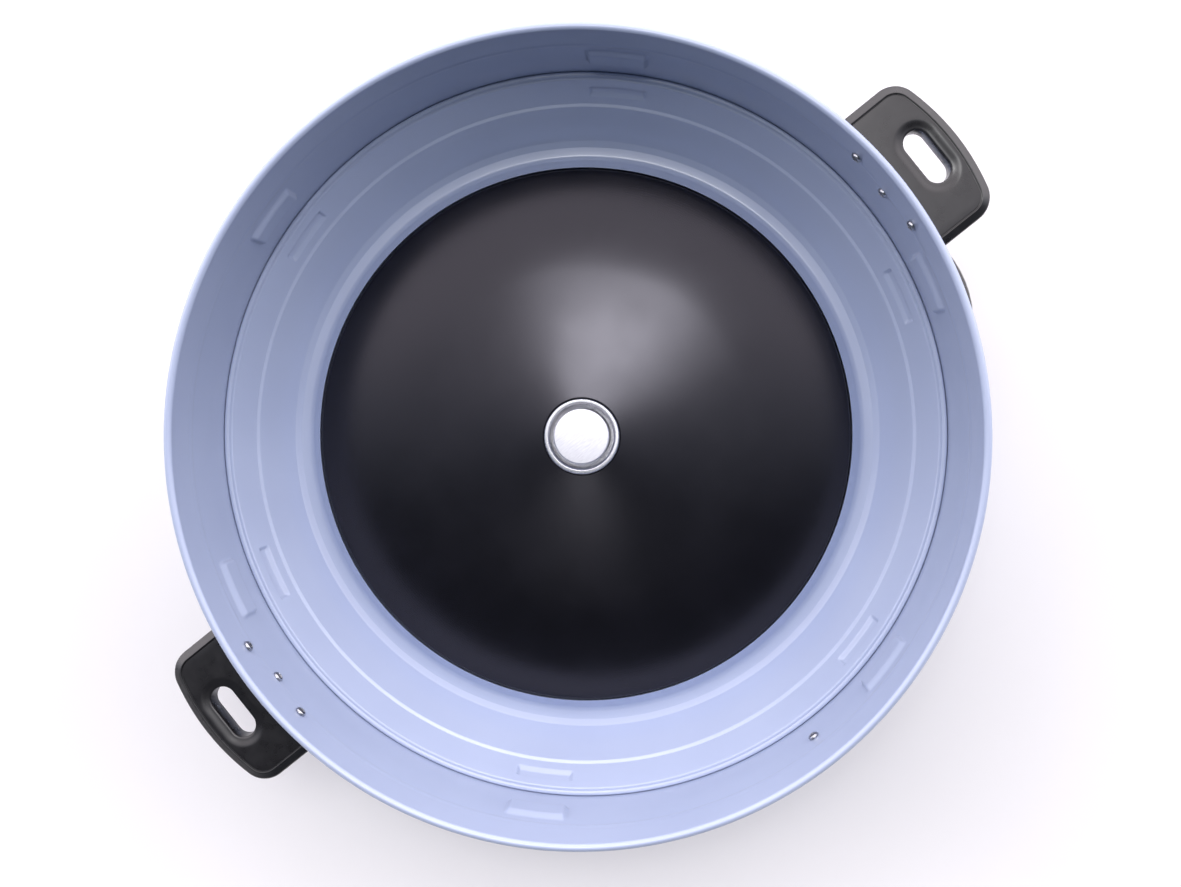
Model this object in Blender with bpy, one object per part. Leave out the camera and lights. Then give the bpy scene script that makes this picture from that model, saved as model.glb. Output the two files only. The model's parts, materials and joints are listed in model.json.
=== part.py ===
"""Body of a large round electric cooker, without its pot and lid.

A painted steel drum holds a stepped liner, a domed cast heating plate with a sprung magnetic
thermostat in its centre, two bolted bakelite handles and a bulging control box whose key works the
thermostat through a lever. The drum stands on the floor with its axis on +Z.

Lengths are millimetres until mesh_object() and the placing helpers turn them into metres.
"""
import math

import bmesh
import bpy
import numpy as np
from mathutils import Matrix

MM = 0.001
GAP = 0.3                      # clearance left between pieces that touch

# drum
RIM_TOP = 186.0                # height of the rim over the floor
WALL_RADIUS = 210.7            # inside of the drum wall
WALL = 1.0                     # drum sheet
ROLL = 2.2                     # radius of the rolled rim
SHELL_BOTTOM = 12.0

# six pads pressed into the drum wall and six into the liner, on the same azimuths
PAD_AZIMUTHS = [-14.8 + 60.0 * step for step in range(6)]
PAD_HALF = 4.4                 # degrees, flat part
PAD_RAMP = 1.2                 # degrees, sloping end
PAD_TOP = 149.0
PAD_CREST = 131.0
PAD_BOTTOM = 126.0
PAD_DEPTH = 2.4

# liner
LINER_RADIUS = 209.9
LINER_TOP = 105.7
LINER_SHEET = 0.9
LINER_PAD_TOP = 101.4
LINER_PAD_EDGE = 100.4         # deepest level, just under the top
LINER_PAD_BOTTOM = 95.6
LINER_PAD_DEPTH = 1.6
LIP_RADIUS = 161.2             # hole in the liner that the heating plate stands in
LIP_TOP = 76.3                 # the lip rises beside the edge of the plate
LIP_TURN = 4.0                 # and is turned down again by this much

# heating plate
PLATE_RADIUS = 160.2
PLATE_APEX = 91.0
PLATE_KNEE = (98.0, 86.0)      # radius and height where the cone starts to fall faster
PLATE_EDGE = 77.6
PLATE_THICK = 9.0
HUB_HOLE = 22.8

# thermostat
RING_OUTER = 22.5
RING_INNER = 19.0
CAP_RADIUS = 16.6
CAP_TOP = 95.0
CUP_BOTTOM = 48.0
SPRING_BOTTOM = 50.0
SPRING_TOP = 69.6
SPRING_RADIUS = 18.2
MAGNET_TOP = 79.0
MAGNET_HEIGHT = 8.0
ROD_BOTTOM = 41.5

# cooking lever: along the azimuth of the control box
BOX_AZIMUTH = -16.7
PIVOT = 46.0                   # distance of the lever pivot from the drum axis
LEVER_TOP = 41.0
LEVER_THICK = 2.5
LEVER_WIDTH = 8.0
LEVER_END = 229.2
BRACKET_WIDTH = 21.0
SWITCH_AT = 90.0               # distance of the switch plunger from the drum axis

# control box: part of an upright cylinder that stands out of the drum
BOX_CENTRE = 176.5
BOX_RADIUS = 64.2
BOX_WALL = 2.5
BOX_BOTTOM = 18.0
BOX_TOP = 94.0
NICHE_DEPTH_AT = 228.0         # face of the niche that the key moves in
NICHE_HALF = 17.0
NICHE_TOP = 62.0

# handles
HANDLE_REACH = 254.5
HANDLE_HALF = 42.0
HANDLE_CORNER = 14.0
HANDLE_BOW = 4.0
HANDLE_TOP = 172.0
HANDLE_THICK = 13.0
HANDLE_FOOT = 139.0            # lower end of the block that is bolted to the drum
HANDLE_BLOCK = 221.0
SLOT_CENTRE = 235.5
SLOT_WIDTH = 13.5
SLOT_LENGTH = 31.0

# screws
HEAD_RADIUS = 3.1
HEAD_HEIGHT = 1.7
SHANK_RADIUS = 1.6
SCREW_SPREAD = 6.26            # degrees between the middle and the outer handle screws
SCREW_HEIGHT_OUTER = 163.9
SCREW_HEIGHT_MIDDLE = 154.7
TRIM_HEIGHT = 139.5

# bottom
PAN_RADIUS = 210.2             # outside of the skirt that stands inside the drum
PAN_BOTTOM = 13.3
PAN_RIM = 22.0                 # top of the skirt
PAN_SHEET = 1.2
PAN_TOP = PAN_BOTTOM + PAN_SHEET
FOOT_CIRCLE = 168.0
FOOT_AZIMUTHS = (45.0, 135.0, 225.0, 315.0)
BASE_SCREW_HEIGHT = 18.0
BASE_SCREW_AZIMUTHS = (10.0, 100.0, 190.0, 280.0)
GLAND_HEIGHT = 36.0

SEGMENTS = 72                  # facets of the large turned parts


# ---------------------------------------------------------------- materials
def surface(name, colour, metallic, roughness):
    """A plain Principled material; colour is linear red, green, blue."""
    material = bpy.data.materials.new(name)
    material.use_nodes = True
    shader = material.node_tree.nodes["Principled BSDF"]
    shader.inputs["Base Color"].default_value = (*colour, 1.0)
    shader.inputs["Metallic"].default_value = metallic
    shader.inputs["Roughness"].default_value = roughness
    material.diffuse_color = (*colour, 1.0)
    return material


LOOKS = {
    "blue_enamel": ((0.35, 0.44, 0.66), 0.0, 0.28),
    "black_cast": ((0.018, 0.017, 0.022), 0.2, 0.42),
    "bakelite": ((0.012, 0.012, 0.013), 0.0, 0.3),
    "bright_steel": ((0.62, 0.62, 0.63), 1.0, 0.25),
    "aluminium": ((0.72, 0.72, 0.74), 1.0, 0.38),
    "zinc_sheet": ((0.5, 0.51, 0.53), 1.0, 0.45),
    "ferrite": ((0.05, 0.05, 0.055), 0.1, 0.6),
    "rubber": ((0.02, 0.02, 0.02), 0.0, 0.8),
    "red_lens": ((0.6, 0.03, 0.02), 0.0, 0.2),
    "amber_lens": ((0.75, 0.35, 0.03), 0.0, 0.2),
    "white_plastic": ((0.75, 0.74, 0.7), 0.0, 0.45),
}


# ---------------------------------------------------------------- outlines
def rounded(corners, chords=3):
    """Open path through (x, y, fillet radius) corners; each fillet is an arc of a few chords."""
    points = [np.array(corner[:2], dtype=float) for corner in corners]
    path = [points[0]]
    for before, here, after, corner in zip(points, points[1:], points[2:], corners[1:]):
        radius = corner[2]
        if radius == 0.0:
            path.append(here)
            continue
        back = (before - here) / np.linalg.norm(before - here)
        ahead = (after - here) / np.linalg.norm(after - here)
        half = 0.5 * math.acos(float(np.clip(back @ ahead, -1.0, 1.0)))
        middle = (back + ahead) / np.linalg.norm(back + ahead)
        centre = here + middle * radius / math.sin(half)
        start = here + back * radius / math.tan(half) - centre
        end = here + ahead * radius / math.tan(half) - centre
        first = math.atan2(start[1], start[0])
        sweep = (math.atan2(end[1], end[0]) - first + math.pi) % (2.0 * math.pi) - math.pi
        for step in range(chords + 1):
            angle = first + sweep * step / chords
            path.append(centre + radius * np.array((math.cos(angle), math.sin(angle))))
    path.append(points[-1])
    return path


def sheet_section(path, thickness):
    """Closed section of a bent sheet: the path, and the same path moved sideways by the thickness."""
    points = np.array(path)
    runs = np.diff(points, axis=0)
    runs /= np.linalg.norm(runs, axis=1)[:, None]
    sides = np.column_stack((-runs[:, 1], runs[:, 0]))
    first = np.vstack((sides[:1], sides))
    second = np.vstack((sides, sides[-1:]))
    mitre = first + second
    mitre /= (1.0 + np.sum(first * second, axis=1))[:, None]
    return list(points) + list((points + thickness * mitre)[::-1])


# ---------------------------------------------------------------- solids
def mesh_object(name, points, faces, look, matrix=None, smooth=True):
    """Object from millimetre points and faces, with the faces turned outward."""
    mesh = bpy.data.meshes.new(name)
    mesh.from_pydata([tuple(MM * value for value in point) for point in points], [], faces)
    shape = bmesh.new()
    shape.from_mesh(mesh)
    bmesh.ops.recalc_face_normals(shape, faces=shape.faces)
    shape.to_mesh(mesh)
    shape.free()
    if matrix is not None:
        mesh.transform(matrix)
    if smooth:
        mesh.shade_smooth()
        mesh.set_sharp_from_angle(angle=math.radians(35.0))
    piece = bpy.data.objects.new(name, mesh)
    bpy.context.scene.collection.objects.link(piece)
    if look is not None:
        mesh.materials.append(LOOK_MATERIALS[look])
    return piece


def even_angles(count):
    """Angles in degrees, evenly round the circle."""
    return [360.0 * step / count for step in range(count)]


def turned(name, section, look, angles=None, matrix=None, press=None):
    """Solid of revolution of a closed (radius, height) section; radius 0 makes a pole.

    press(angle, radius, height) gives a change of radius, for embossed sheet.
    """
    angles = even_angles(SEGMENTS) if angles is None else angles
    points = []
    rings = []
    for radius, height in section:
        if radius < 1e-9:
            rings.append([len(points)] * len(angles))
            points.append((0.0, 0.0, height))
            continue
        rings.append([len(points) + step for step in range(len(angles))])
        for angle in angles:
            local = radius + (press(angle, radius, height) if press else 0.0)
            turn = math.radians(angle)
            points.append((local * math.cos(turn), local * math.sin(turn), height))
    faces = []
    for ring, following in zip(rings, rings[1:] + rings[:1]):
        for here, beside in zip(range(len(angles)), list(range(1, len(angles))) + [0]):
            corners = [ring[here], ring[beside], following[beside], following[here]]
            face = list(dict.fromkeys(corners))
            if len(face) > 2:
                faces.append(face)
    return mesh_object(name, points, faces, look, matrix)


def rod(name, radius, low, high, look, matrix=None, sides=16):
    """Upright cylinder on the Z axis."""
    section = [(0.0, low), (radius, low), (radius, high), (0.0, high)]
    return turned(name, section, look, even_angles(sides), matrix)


def block(name, spans, look, matrix=None):
    """Box from its (low, high) spans along X, Y and Z."""
    points = [(x, y, z) for x in spans[0] for y in spans[1] for z in spans[2]]
    faces = [(0, 1, 3, 2), (4, 6, 7, 5), (0, 4, 5, 1), (2, 3, 7, 6), (0, 2, 6, 4), (1, 5, 7, 3)]
    return mesh_object(name, points, faces, look, matrix, smooth=False)


def stacked(name, loops, look, matrix=None):
    """Solid through closed loops of equal length, with flat ends."""
    size = len(loops[0])
    points = [point for loop in loops for point in loop]
    faces = [list(range(size)), list(range(len(points) - size, len(points)))]
    for level in range(len(loops) - 1):
        for step in range(size):
            beside = (step + 1) % size
            low = level * size
            faces.append((low + step, low + beside, low + size + beside, low + size + step))
    return mesh_object(name, points, faces, look, matrix)


def at_azimuth(azimuth, radius=0.0, height=0.0):
    """Placing with +X pointing outward at an azimuth in degrees."""
    turn = Matrix.Rotation(math.radians(azimuth), 4, "Z")
    return turn @ Matrix.Translation((MM * radius, 0.0, MM * height))


LIE_OUTWARD = Matrix.Rotation(math.radians(90.0), 4, "Y")      # turns +Z to +X
LIE_ACROSS = Matrix.Rotation(math.radians(-90.0), 4, "X")      # turns +Z to +Y


def combine(piece, others, operation="DIFFERENCE"):
    """Cut other solids out of a piece, or join them to it; they become hidden guides."""
    for other in others:
        change = piece.modifiers.new(other.name, "BOOLEAN")
        change.operation = operation
        change.solver = "EXACT"
        change.object = other
        other.hide_render = True
        other.display_type = "WIRE"


def hang_on_axis(name, place, pieces):
    """Parent pieces to an empty that marks their joint axis, without moving them."""
    axis = bpy.data.objects.new(name, None)
    axis.empty_display_size = 0.02
    axis.matrix_world = place
    bpy.context.scene.collection.objects.link(axis)
    for piece in pieces:
        piece.parent = axis
        piece.matrix_parent_inverse = place.inverted()


# ---------------------------------------------------------------- drum, liner and bottom
def pad_angles():
    """Azimuths with a sample on every pad corner and even samples between the pads."""
    reach = PAD_HALF + PAD_RAMP
    between = np.linspace(reach, 60.0 - reach, 9)[1:-1]
    offsets = [-reach, -PAD_HALF, 0.0, PAD_HALF, reach, *between]
    return sorted((centre + offset) % 360.0 for centre in PAD_AZIMUTHS for offset in offsets)


def ramp(distance, flat, slope):
    """1 inside the flat half-width, falling to 0 over the slope."""
    return min(1.0, max(0.0, (flat + slope - distance) / slope))


def pad_weight(angle, height, top, crest, bottom):
    """Share of a pad's depth at a point: 1 on its crest, 0 at its top, bottom and ends."""
    offset = min(abs((angle - centre + 180.0) % 360.0 - 180.0) for centre in PAD_AZIMUTHS)
    along = ramp(offset, PAD_HALF, PAD_RAMP)
    up = min((top - height) / (top - crest), (height - bottom) / (crest - bottom))
    return along * max(0.0, up)


def screw_hole(name, azimuth, height, radius):
    """Cutter for a radial screw hole through the drum wall and what is behind it."""
    place = at_azimuth(azimuth, 0.0, height) @ LIE_OUTWARD
    return rod(name, radius, 204.0, 223.0, None, place, sides=8)


def handle_screw_places(side):
    """(azimuth, height) of the three screws of the handle at azimuth side."""
    return [(side - SCREW_SPREAD, SCREW_HEIGHT_OUTER),
            (side, SCREW_HEIGHT_MIDDLE),
            (side + SCREW_SPREAD, SCREW_HEIGHT_OUTER)]


def build_outer_shell():
    outer = WALL_RADIUS + WALL
    centre = WALL_RADIUS + ROLL
    roll = [(centre + ROLL * math.cos(math.radians(angle)),
             RIM_TOP - ROLL + ROLL * math.sin(math.radians(angle)))
            for angle in range(180, -91, -45)]
    levels = [SHELL_BOTTOM, PAD_BOTTOM, PAD_CREST, PAD_TOP]
    section = [*((WALL_RADIUS, level) for level in levels), *roll,
               (outer, RIM_TOP - 2.0 * ROLL), *((outer, level) for level in reversed(levels))]

    def press(angle, radius, height):
        if radius > outer + 0.01:
            return 0.0
        return -PAD_DEPTH * pad_weight(angle, height, PAD_TOP, PAD_CREST, PAD_BOTTOM)

    shell = turned("outer_shell", section, "blue_enamel", pad_angles(), press=press)
    cutters = []
    for side in (0.0, 180.0):
        for number, (azimuth, height) in enumerate(handle_screw_places(side)):
            cutters.append(screw_hole(f"hole_{int(side)}_{number}", azimuth, height, 2.2))
    cutters.append(screw_hole("hole_trim", -90.0, TRIM_HEIGHT, 2.2))
    cutters.append(block("slot_lever", ((205.0, 216.0), (-6.5, 6.5), (18.0, 46.0)), None,
                         at_azimuth(BOX_AZIMUTH)))
    cutters.append(rod("hole_gland", 8.0, 205.0, 220.0, None,
                       at_azimuth(90.0, 0.0, GLAND_HEIGHT) @ LIE_OUTWARD))
    for azimuth in BASE_SCREW_AZIMUTHS:
        cutters.append(screw_hole(f"hole_drum_{int(azimuth)}", azimuth, BASE_SCREW_HEIGHT, 2.1))
    combine(shell, cutters)


def build_liner():
    path = rounded([(LINER_RADIUS, 97.0, 0.0), (LINER_RADIUS, LINER_TOP, 0.0),
                    (206.0, LINER_TOP, 1.6), (195.8, 91.5, 0.9), (193.2, 90.8, 1.1),
                    (178.4, 69.2, 2.6), (174.8, 67.4, 0.0), (167.7, 66.4, 4.2),
                    (LIP_RADIUS, LIP_TOP, 0.0), (LIP_RADIUS, LIP_TOP - LIP_TURN, 0.0)],
                   chords=1)
    for height in (LINER_PAD_TOP, LINER_PAD_EDGE, LINER_PAD_BOTTOM):
        path = with_level(path, height)
    section = sheet_section(path, LINER_SHEET)

    def press(angle, radius, height):
        if radius > 207.5 or radius < 195.0:
            return 0.0
        weight = pad_weight(angle, height, LINER_PAD_TOP, LINER_PAD_EDGE, LINER_PAD_BOTTOM)
        return LINER_PAD_DEPTH * weight

    turned("liner_pan", section, "blue_enamel", pad_angles(), press=press)


def with_level(path, height):
    """Add a point where the sloping lower wall of the liner crosses a height."""
    for index in range(1, len(path) - 1):
        above = path[index]
        below = path[index + 1]
        if above[1] > height > below[1]:
            share = (above[1] - height) / (above[1] - below[1])
            return path[:index + 1] + [above + share * (below - above)] + path[index + 1:]
    return path


def build_bottom():
    pan = turned("base_pan", [(0.0, PAN_BOTTOM), (150.0, PAN_BOTTOM),
                              (PAN_RADIUS - 2.0, PAN_BOTTOM), (PAN_RADIUS, PAN_BOTTOM + 2.0),
                              (PAN_RADIUS, PAN_RIM), (PAN_RADIUS - PAN_SHEET, PAN_RIM),
                              (PAN_RADIUS - PAN_SHEET, PAN_TOP + 1.5),
                              (PAN_RADIUS - PAN_SHEET - 1.5, PAN_TOP), (150.0, PAN_TOP),
                              (0.0, PAN_TOP)], "zinc_sheet", pad_angles())
    holes = []
    for azimuth in FOOT_AZIMUTHS:
        holes.append(rod(f"hole_foot_{int(azimuth)}", 2.3, 8.0, 20.0, None,
                         at_azimuth(azimuth, FOOT_CIRCLE), sides=8))
    for azimuth in BASE_SCREW_AZIMUTHS:
        holes.append(screw_hole(f"hole_pan_{int(azimuth)}", azimuth, BASE_SCREW_HEIGHT, 2.1))
    combine(pan, holes)
    foot_section = [(4.6, 0.0), (11.0, 0.0), (13.0, 3.0), (13.0, PAN_BOTTOM - GAP),
                    (2.3, PAN_BOTTOM - GAP), (2.3, 6.0), (4.6, 6.0)]
    screw_section = [(0.0, 3.4), (3.2, 3.4), (3.8, 4.6), (3.8, 5.7), (1.9, 5.7),
                     (1.9, 19.0), (0.0, 19.0)]
    for number, azimuth in enumerate(FOOT_AZIMUTHS, 1):
        place = at_azimuth(azimuth, FOOT_CIRCLE)
        turned(f"foot_{number}", foot_section, "rubber", even_angles(20), place)
        turned(f"foot_screw_{number}", screw_section, "bright_steel", even_angles(10), place)
    seat = WALL_RADIUS + WALL + GAP
    screw_section = [(0.0, seat - 8.0), (1.6, seat - 8.0), (1.6, seat), (3.1, seat),
                     (3.1, seat + 0.4), (2.4, seat + 1.4), (0.0, seat + 1.4)]
    for number, azimuth in enumerate(BASE_SCREW_AZIMUTHS, 1):
        turned(f"base_screw_{number}", screw_section, "bright_steel", even_angles(10),
               at_azimuth(azimuth, 0.0, BASE_SCREW_HEIGHT) @ LIE_OUTWARD)


# ---------------------------------------------------------------- heating plate
def plate_top(radius):
    """Height of the top of the heating plate."""
    knee_radius, knee_height = PLATE_KNEE
    if radius < knee_radius:
        share = (radius - HUB_HOLE) / (knee_radius - HUB_HOLE)
        return PLATE_APEX + share * (knee_height - PLATE_APEX)
    share = (radius - knee_radius) / (PLATE_RADIUS - 2.0 - knee_radius)
    start = (knee_height - PLATE_APEX) / (knee_radius - HUB_HOLE) * (PLATE_RADIUS - 2.0 - knee_radius)
    drop = PLATE_EDGE - knee_height
    return knee_height + start * share + (drop - start) * share * share


def build_heating_plate():
    tops = [(radius, plate_top(radius))
            for radius in (HUB_HOLE, 98.0, 115.0, 132.0, 147.0, PLATE_RADIUS - 2.0)]
    low_edge = PLATE_EDGE - PLATE_THICK
    section = [*tops, (PLATE_RADIUS - 0.5, PLATE_EDGE - 0.7), (PLATE_RADIUS, PLATE_EDGE - 2.0),
               (PLATE_RADIUS, low_edge + 1.0), (PLATE_RADIUS - 1.0, low_edge),
               (150.0, low_edge), (98.0, PLATE_KNEE[1] - PLATE_THICK), (32.0, 81.0),
               (28.0, 78.0), (HUB_HOLE, 78.0)]
    turned("heating_plate", section, "black_cast")


ELEMENT_RADIUS = 95.0
ELEMENT_TUBE = 4.0
ELEMENT_HEIGHT = PLATE_KNEE[1] - PLATE_THICK - GAP - ELEMENT_TUBE
ELEMENT_SPAN = (165.0, 495.0)  # degrees; the gap between the ends faces the rear left


def build_element():
    """Tubular heater under the plate, a ring with a gap, and its two terminals."""
    start, end = ELEMENT_SPAN
    loops = []
    for step in range(31):
        around = math.radians(start + (end - start) * step / 30)
        loop = []
        for side in range(8):
            tilt = 2.0 * math.pi * side / 8
            radius = ELEMENT_RADIUS + ELEMENT_TUBE * math.cos(tilt)
            loop.append((radius * math.cos(around), radius * math.sin(around),
                         ELEMENT_HEIGHT + ELEMENT_TUBE * math.sin(tilt)))
        loops.append(loop)
    stacked("heating_element", loops, "bright_steel")
    for number, azimuth in enumerate((start + 2.0, end - 2.0), 1):
        top = ELEMENT_HEIGHT - ELEMENT_TUBE - GAP
        section = [(0.0, 46.0), (1.6, 46.0), (1.6, 58.0), (2.8, 58.0), (2.8, top), (0.0, top)]
        turned(f"element_terminal_{number}", section, "bright_steel", even_angles(12),
               at_azimuth(azimuth, ELEMENT_RADIUS))


def build_plate_supports():
    for number, azimuth in enumerate((60.0, 180.0, 300.0), 1):
        section = [(0.0, PAN_TOP + GAP), (8.0, PAN_TOP + GAP), (8.0, PAN_TOP + 2.5),
                   (4.5, PAN_TOP + 2.5), (4.5, 72.0), (0.0, 72.0)]
        turned(f"plate_post_{number}", section, "zinc_sheet", even_angles(12),
               at_azimuth(azimuth, 118.0))
    fuse = [(0.0, -11.0), (2.6, -11.0), (4.0, -9.5), (4.0, 9.5), (2.6, 11.0), (0.0, 11.0)]
    turned("thermal_fuse", fuse, "white_plastic", even_angles(12),
           at_azimuth(200.0, 58.0, 72.0) @ LIE_ACROSS)


# ---------------------------------------------------------------- thermostat
def build_sensor():
    cup_top = 71.4
    turned("sensor_ring", [(RING_INNER, 71.7), (RING_OUTER, 71.7), (RING_OUTER, 91.3),
                           (RING_OUTER - 0.5, 91.8), (RING_INNER + 0.5, 91.8),
                           (RING_INNER, 91.3)], "bright_steel", even_angles(40))
    turned("sensor_cup", [(2.8, CUP_BOTTOM), (RING_OUTER, CUP_BOTTOM), (RING_OUTER, cup_top),
                          (20.3, cup_top), (20.3, CUP_BOTTOM + 1.5), (2.8, CUP_BOTTOM + 1.5)],
           "zinc_sheet", even_angles(32))
    wall = CAP_RADIUS - 1.0
    turned("sensor_cap", [(0.0, CAP_TOP), (CAP_RADIUS - 0.8, CAP_TOP),
                          (CAP_RADIUS, CAP_TOP - 0.8), (CAP_RADIUS, 71.2), (19.6, 71.2),
                          (19.6, 70.0), (wall, 70.0), (wall, CAP_TOP - 1.2),
                          (0.0, CAP_TOP - 1.2)], "aluminium", even_angles(36))
    rod("sensor_ferrite", wall - 0.4, 87.5, CAP_TOP - 1.5, "ferrite", sides=24)
    rod("magnet", 10.0, MAGNET_TOP - MAGNET_HEIGHT, MAGNET_TOP, "ferrite", sides=24)
    low = MAGNET_TOP - MAGNET_HEIGHT - GAP
    turned("pull_rod", [(0.0, ROD_BOTTOM), (2.0, ROD_BOTTOM), (2.0, low - 2.0), (6.0, low - 2.0),
                        (6.0, low), (0.0, low)], "bright_steel", even_angles(12))
    build_sensor_spring()


def build_sensor_spring():
    """Coil between the bottom of the cup and the flange of the cap."""
    wire = 0.6
    turns = 4.5
    steps = int(turns * 12)
    rise = (SPRING_TOP - SPRING_BOTTOM - 2.0 * wire) / steps
    loops = []
    for step in range(steps + 1):
        turn = 2.0 * math.pi * turns * step / steps
        loop = []
        for side in range(6):
            tilt = 2.0 * math.pi * side / 6
            radius = SPRING_RADIUS + wire * math.cos(tilt)
            height = SPRING_BOTTOM + wire + rise * step + wire * math.sin(tilt)
            loop.append((radius * math.cos(turn), radius * math.sin(turn), height))
        loops.append(loop)
    stacked("sensor_spring", loops, "bright_steel")


# ---------------------------------------------------------------- lever, switch and control box
def lever_height():
    """Height of the lever pivot, in the middle of the bar."""
    return LEVER_TOP - 0.5 * LEVER_THICK


def across_pivot(name, radius, half_length, look):
    """Cylinder on the pivot axis of the lever."""
    place = at_azimuth(BOX_AZIMUTH, PIVOT, lever_height()) @ LIE_ACROSS
    return rod(name, radius, -half_length, half_length, look, place)


def build_lever():
    place = at_azimuth(BOX_AZIMUTH)
    half = 0.5 * LEVER_WIDTH
    lever = block("cook_lever", ((-5.0, LEVER_END), (-half, half),
                                 (LEVER_TOP - LEVER_THICK, LEVER_TOP)), "bright_steel", place)
    combine(lever, [across_pivot("lever_eye", 4.5, half + 0.6, None)], "UNION")
    combine(lever, [across_pivot("lever_bore", 2.4, 12.0, None)])
    across_pivot("lever_pin", 2.0, 12.5, "bright_steel")
    build_lever_spring()

    low = PAN_TOP + GAP
    outside = 0.5 * BRACKET_WIDTH
    inside = outside - 1.5
    bracket = block("lever_bracket", ((37.0, 55.0), (-outside, outside), (low, 46.0)),
                    "zinc_sheet", place)
    combine(bracket, [block("bracket_gap", ((30.0, 60.0), (-inside, inside), (low + 1.5, 60.0)),
                            None, place),
                      across_pivot("bracket_bore", 2.4, 16.0, None)])

    key_low = lever_height() - 6.0
    loops = []
    for inset, height in ((2.0, 0.0), (0.0, 2.0), (0.0, 10.0), (2.0, 12.0)):
        loops.append([(x, y, key_low + height)
                      for x, y in ((LEVER_END + GAP, -14.0 + inset), (238.6 - inset, -14.0 + inset),
                                   (238.6 - inset, 14.0 - inset), (LEVER_END + GAP, 14.0 - inset))])
    key = stacked("cook_key", loops, "bakelite", place)
    hang_on_axis("cook_lever_axis", at_azimuth(BOX_AZIMUTH, PIVOT, lever_height()), [lever, key])


def build_lever_spring():
    """Torsion spring round the pivot pin, beside the lever, that lifts the key again."""
    wire = 0.5
    steps = 24
    loops = []
    for step in range(steps + 1):
        turn = 2.0 * math.pi * step / 12
        loop = []
        for side in range(6):
            tilt = 2.0 * math.pi * side / 6
            radius = 3.4 + wire * math.cos(tilt)
            along = 5.6 + 2.6 * step / steps + wire * math.sin(tilt)
            loop.append((radius * math.cos(turn), radius * math.sin(turn), along))
        loops.append(loop)
    stacked("lever_spring", loops, "bright_steel",
            at_azimuth(BOX_AZIMUTH, PIVOT, lever_height()) @ LIE_ACROSS)


def build_switch():
    place = at_azimuth(BOX_AZIMUTH)
    low = PAN_TOP + GAP
    switch = block("microswitch", ((SWITCH_AT - 12.0, SWITCH_AT + 12.0), (-6.0, 6.0),
                                   (low, 31.0)), "bakelite", place)
    bore_place = at_azimuth(BOX_AZIMUTH, SWITCH_AT)
    combine(switch, [rod("switch_bore", 2.0, 22.0, 40.0, None, bore_place)])
    plunger = rod("switch_plunger", 1.6, 27.0, LEVER_TOP - LEVER_THICK - GAP, "white_plastic",
                  bore_place, sides=12)
    hang_on_axis("switch_press_axis", bore_place, [plunger])


def build_control_box():
    place = at_azimuth(BOX_AZIMUTH)
    centre = at_azimuth(BOX_AZIMUTH, BOX_CENTRE)
    flat = BOX_RADIUS - 1.5
    section = [(0.0, BOX_BOTTOM), (flat, BOX_BOTTOM), (BOX_RADIUS, BOX_BOTTOM + 1.5),
               (BOX_RADIUS, BOX_TOP - 3.0), (BOX_RADIUS - 0.9, BOX_TOP - 0.9),
               (BOX_RADIUS - 3.0, BOX_TOP), (0.0, BOX_TOP)]
    box = turned("control_box", section, "bakelite", even_angles(60), centre)
    room = rod("box_room", BOX_RADIUS - BOX_WALL, BOX_BOTTOM + BOX_WALL, BOX_TOP - BOX_WALL, None,
               centre, sides=60)
    lining = NICHE_HALF + BOX_WALL
    combine(room, [block("niche_walls", ((NICHE_DEPTH_AT - BOX_WALL, 260.0), (-lining, lining),
                                         (0.0, NICHE_TOP + BOX_WALL)), None, place)])
    niche = block("niche", ((NICHE_DEPTH_AT, 260.0), (-NICHE_HALF, NICHE_HALF), (0.0, NICHE_TOP)),
                  None, place)
    slot = block("niche_slot", ((220.0, 235.0), (-6.0, 6.0), (21.0, 45.0)), None, place)
    drum = rod("drum_clearance", WALL_RADIUS + WALL + 0.6, 0.0, 120.0, None, sides=96)
    holes = []
    for number, across in enumerate((-14.0, 14.0)):
        lamp_place = place @ Matrix.Translation((0.0, MM * across, MM * 77.0)) @ LIE_OUTWARD
        holes.append(rod(f"hole_lamp_{number}", 3.9, 225.0, 250.0, None, lamp_place))
        face = BOX_CENTRE + math.sqrt(BOX_RADIUS ** 2 - (abs(across) + 3.5) ** 2)
        look = ("red_lens", "amber_lens")[number]
        rod(("lamp_cook", "lamp_warm")[number], 3.5, face - 7.0, face, look, lamp_place)
    combine(box, [room, niche, slot, drum, *holes])


# ---------------------------------------------------------------- handles and trim
def handle_loop(inset, height):
    """Plan outline of the grip, moved inward by inset, as a closed loop at one height."""
    half = HANDLE_HALF - inset
    corner = HANDLE_CORNER - inset
    inner = half - corner
    points = [(205.0, half), (205.0, -half)]
    shoulder = HANDLE_REACH - HANDLE_BOW - HANDLE_CORNER
    for step in range(6):
        turn = math.radians(-90.0 + 90.0 * step / 5)
        points.append((shoulder + corner * math.cos(turn), -inner + corner * math.sin(turn)))
    for step in range(1, 6):
        share = -1.0 + 2.0 * step / 6
        points.append((HANDLE_REACH - inset - HANDLE_BOW * share * share, inner * share))
    for step in range(6):
        turn = math.radians(90.0 * step / 5)
        points.append((shoulder + corner * math.cos(turn), inner + corner * math.sin(turn)))
    return [(x, y, height) for x, y in points]


def slot_cutter(name, place):
    """Long hole with round ends, through the grip."""
    radius = 0.5 * SLOT_WIDTH
    straight = 0.5 * SLOT_LENGTH - radius
    outline = []
    for step in range(20):
        turn = math.radians(18.0 * step + 9.0)
        shift = straight if math.sin(turn) > 0.0 else -straight
        outline.append((SLOT_CENTRE + radius * math.cos(turn), shift + radius * math.sin(turn)))
    loops = [[(x, y, height) for x, y in outline] for height in (150.0, 180.0)]
    return stacked(name, loops, None, place)


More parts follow.
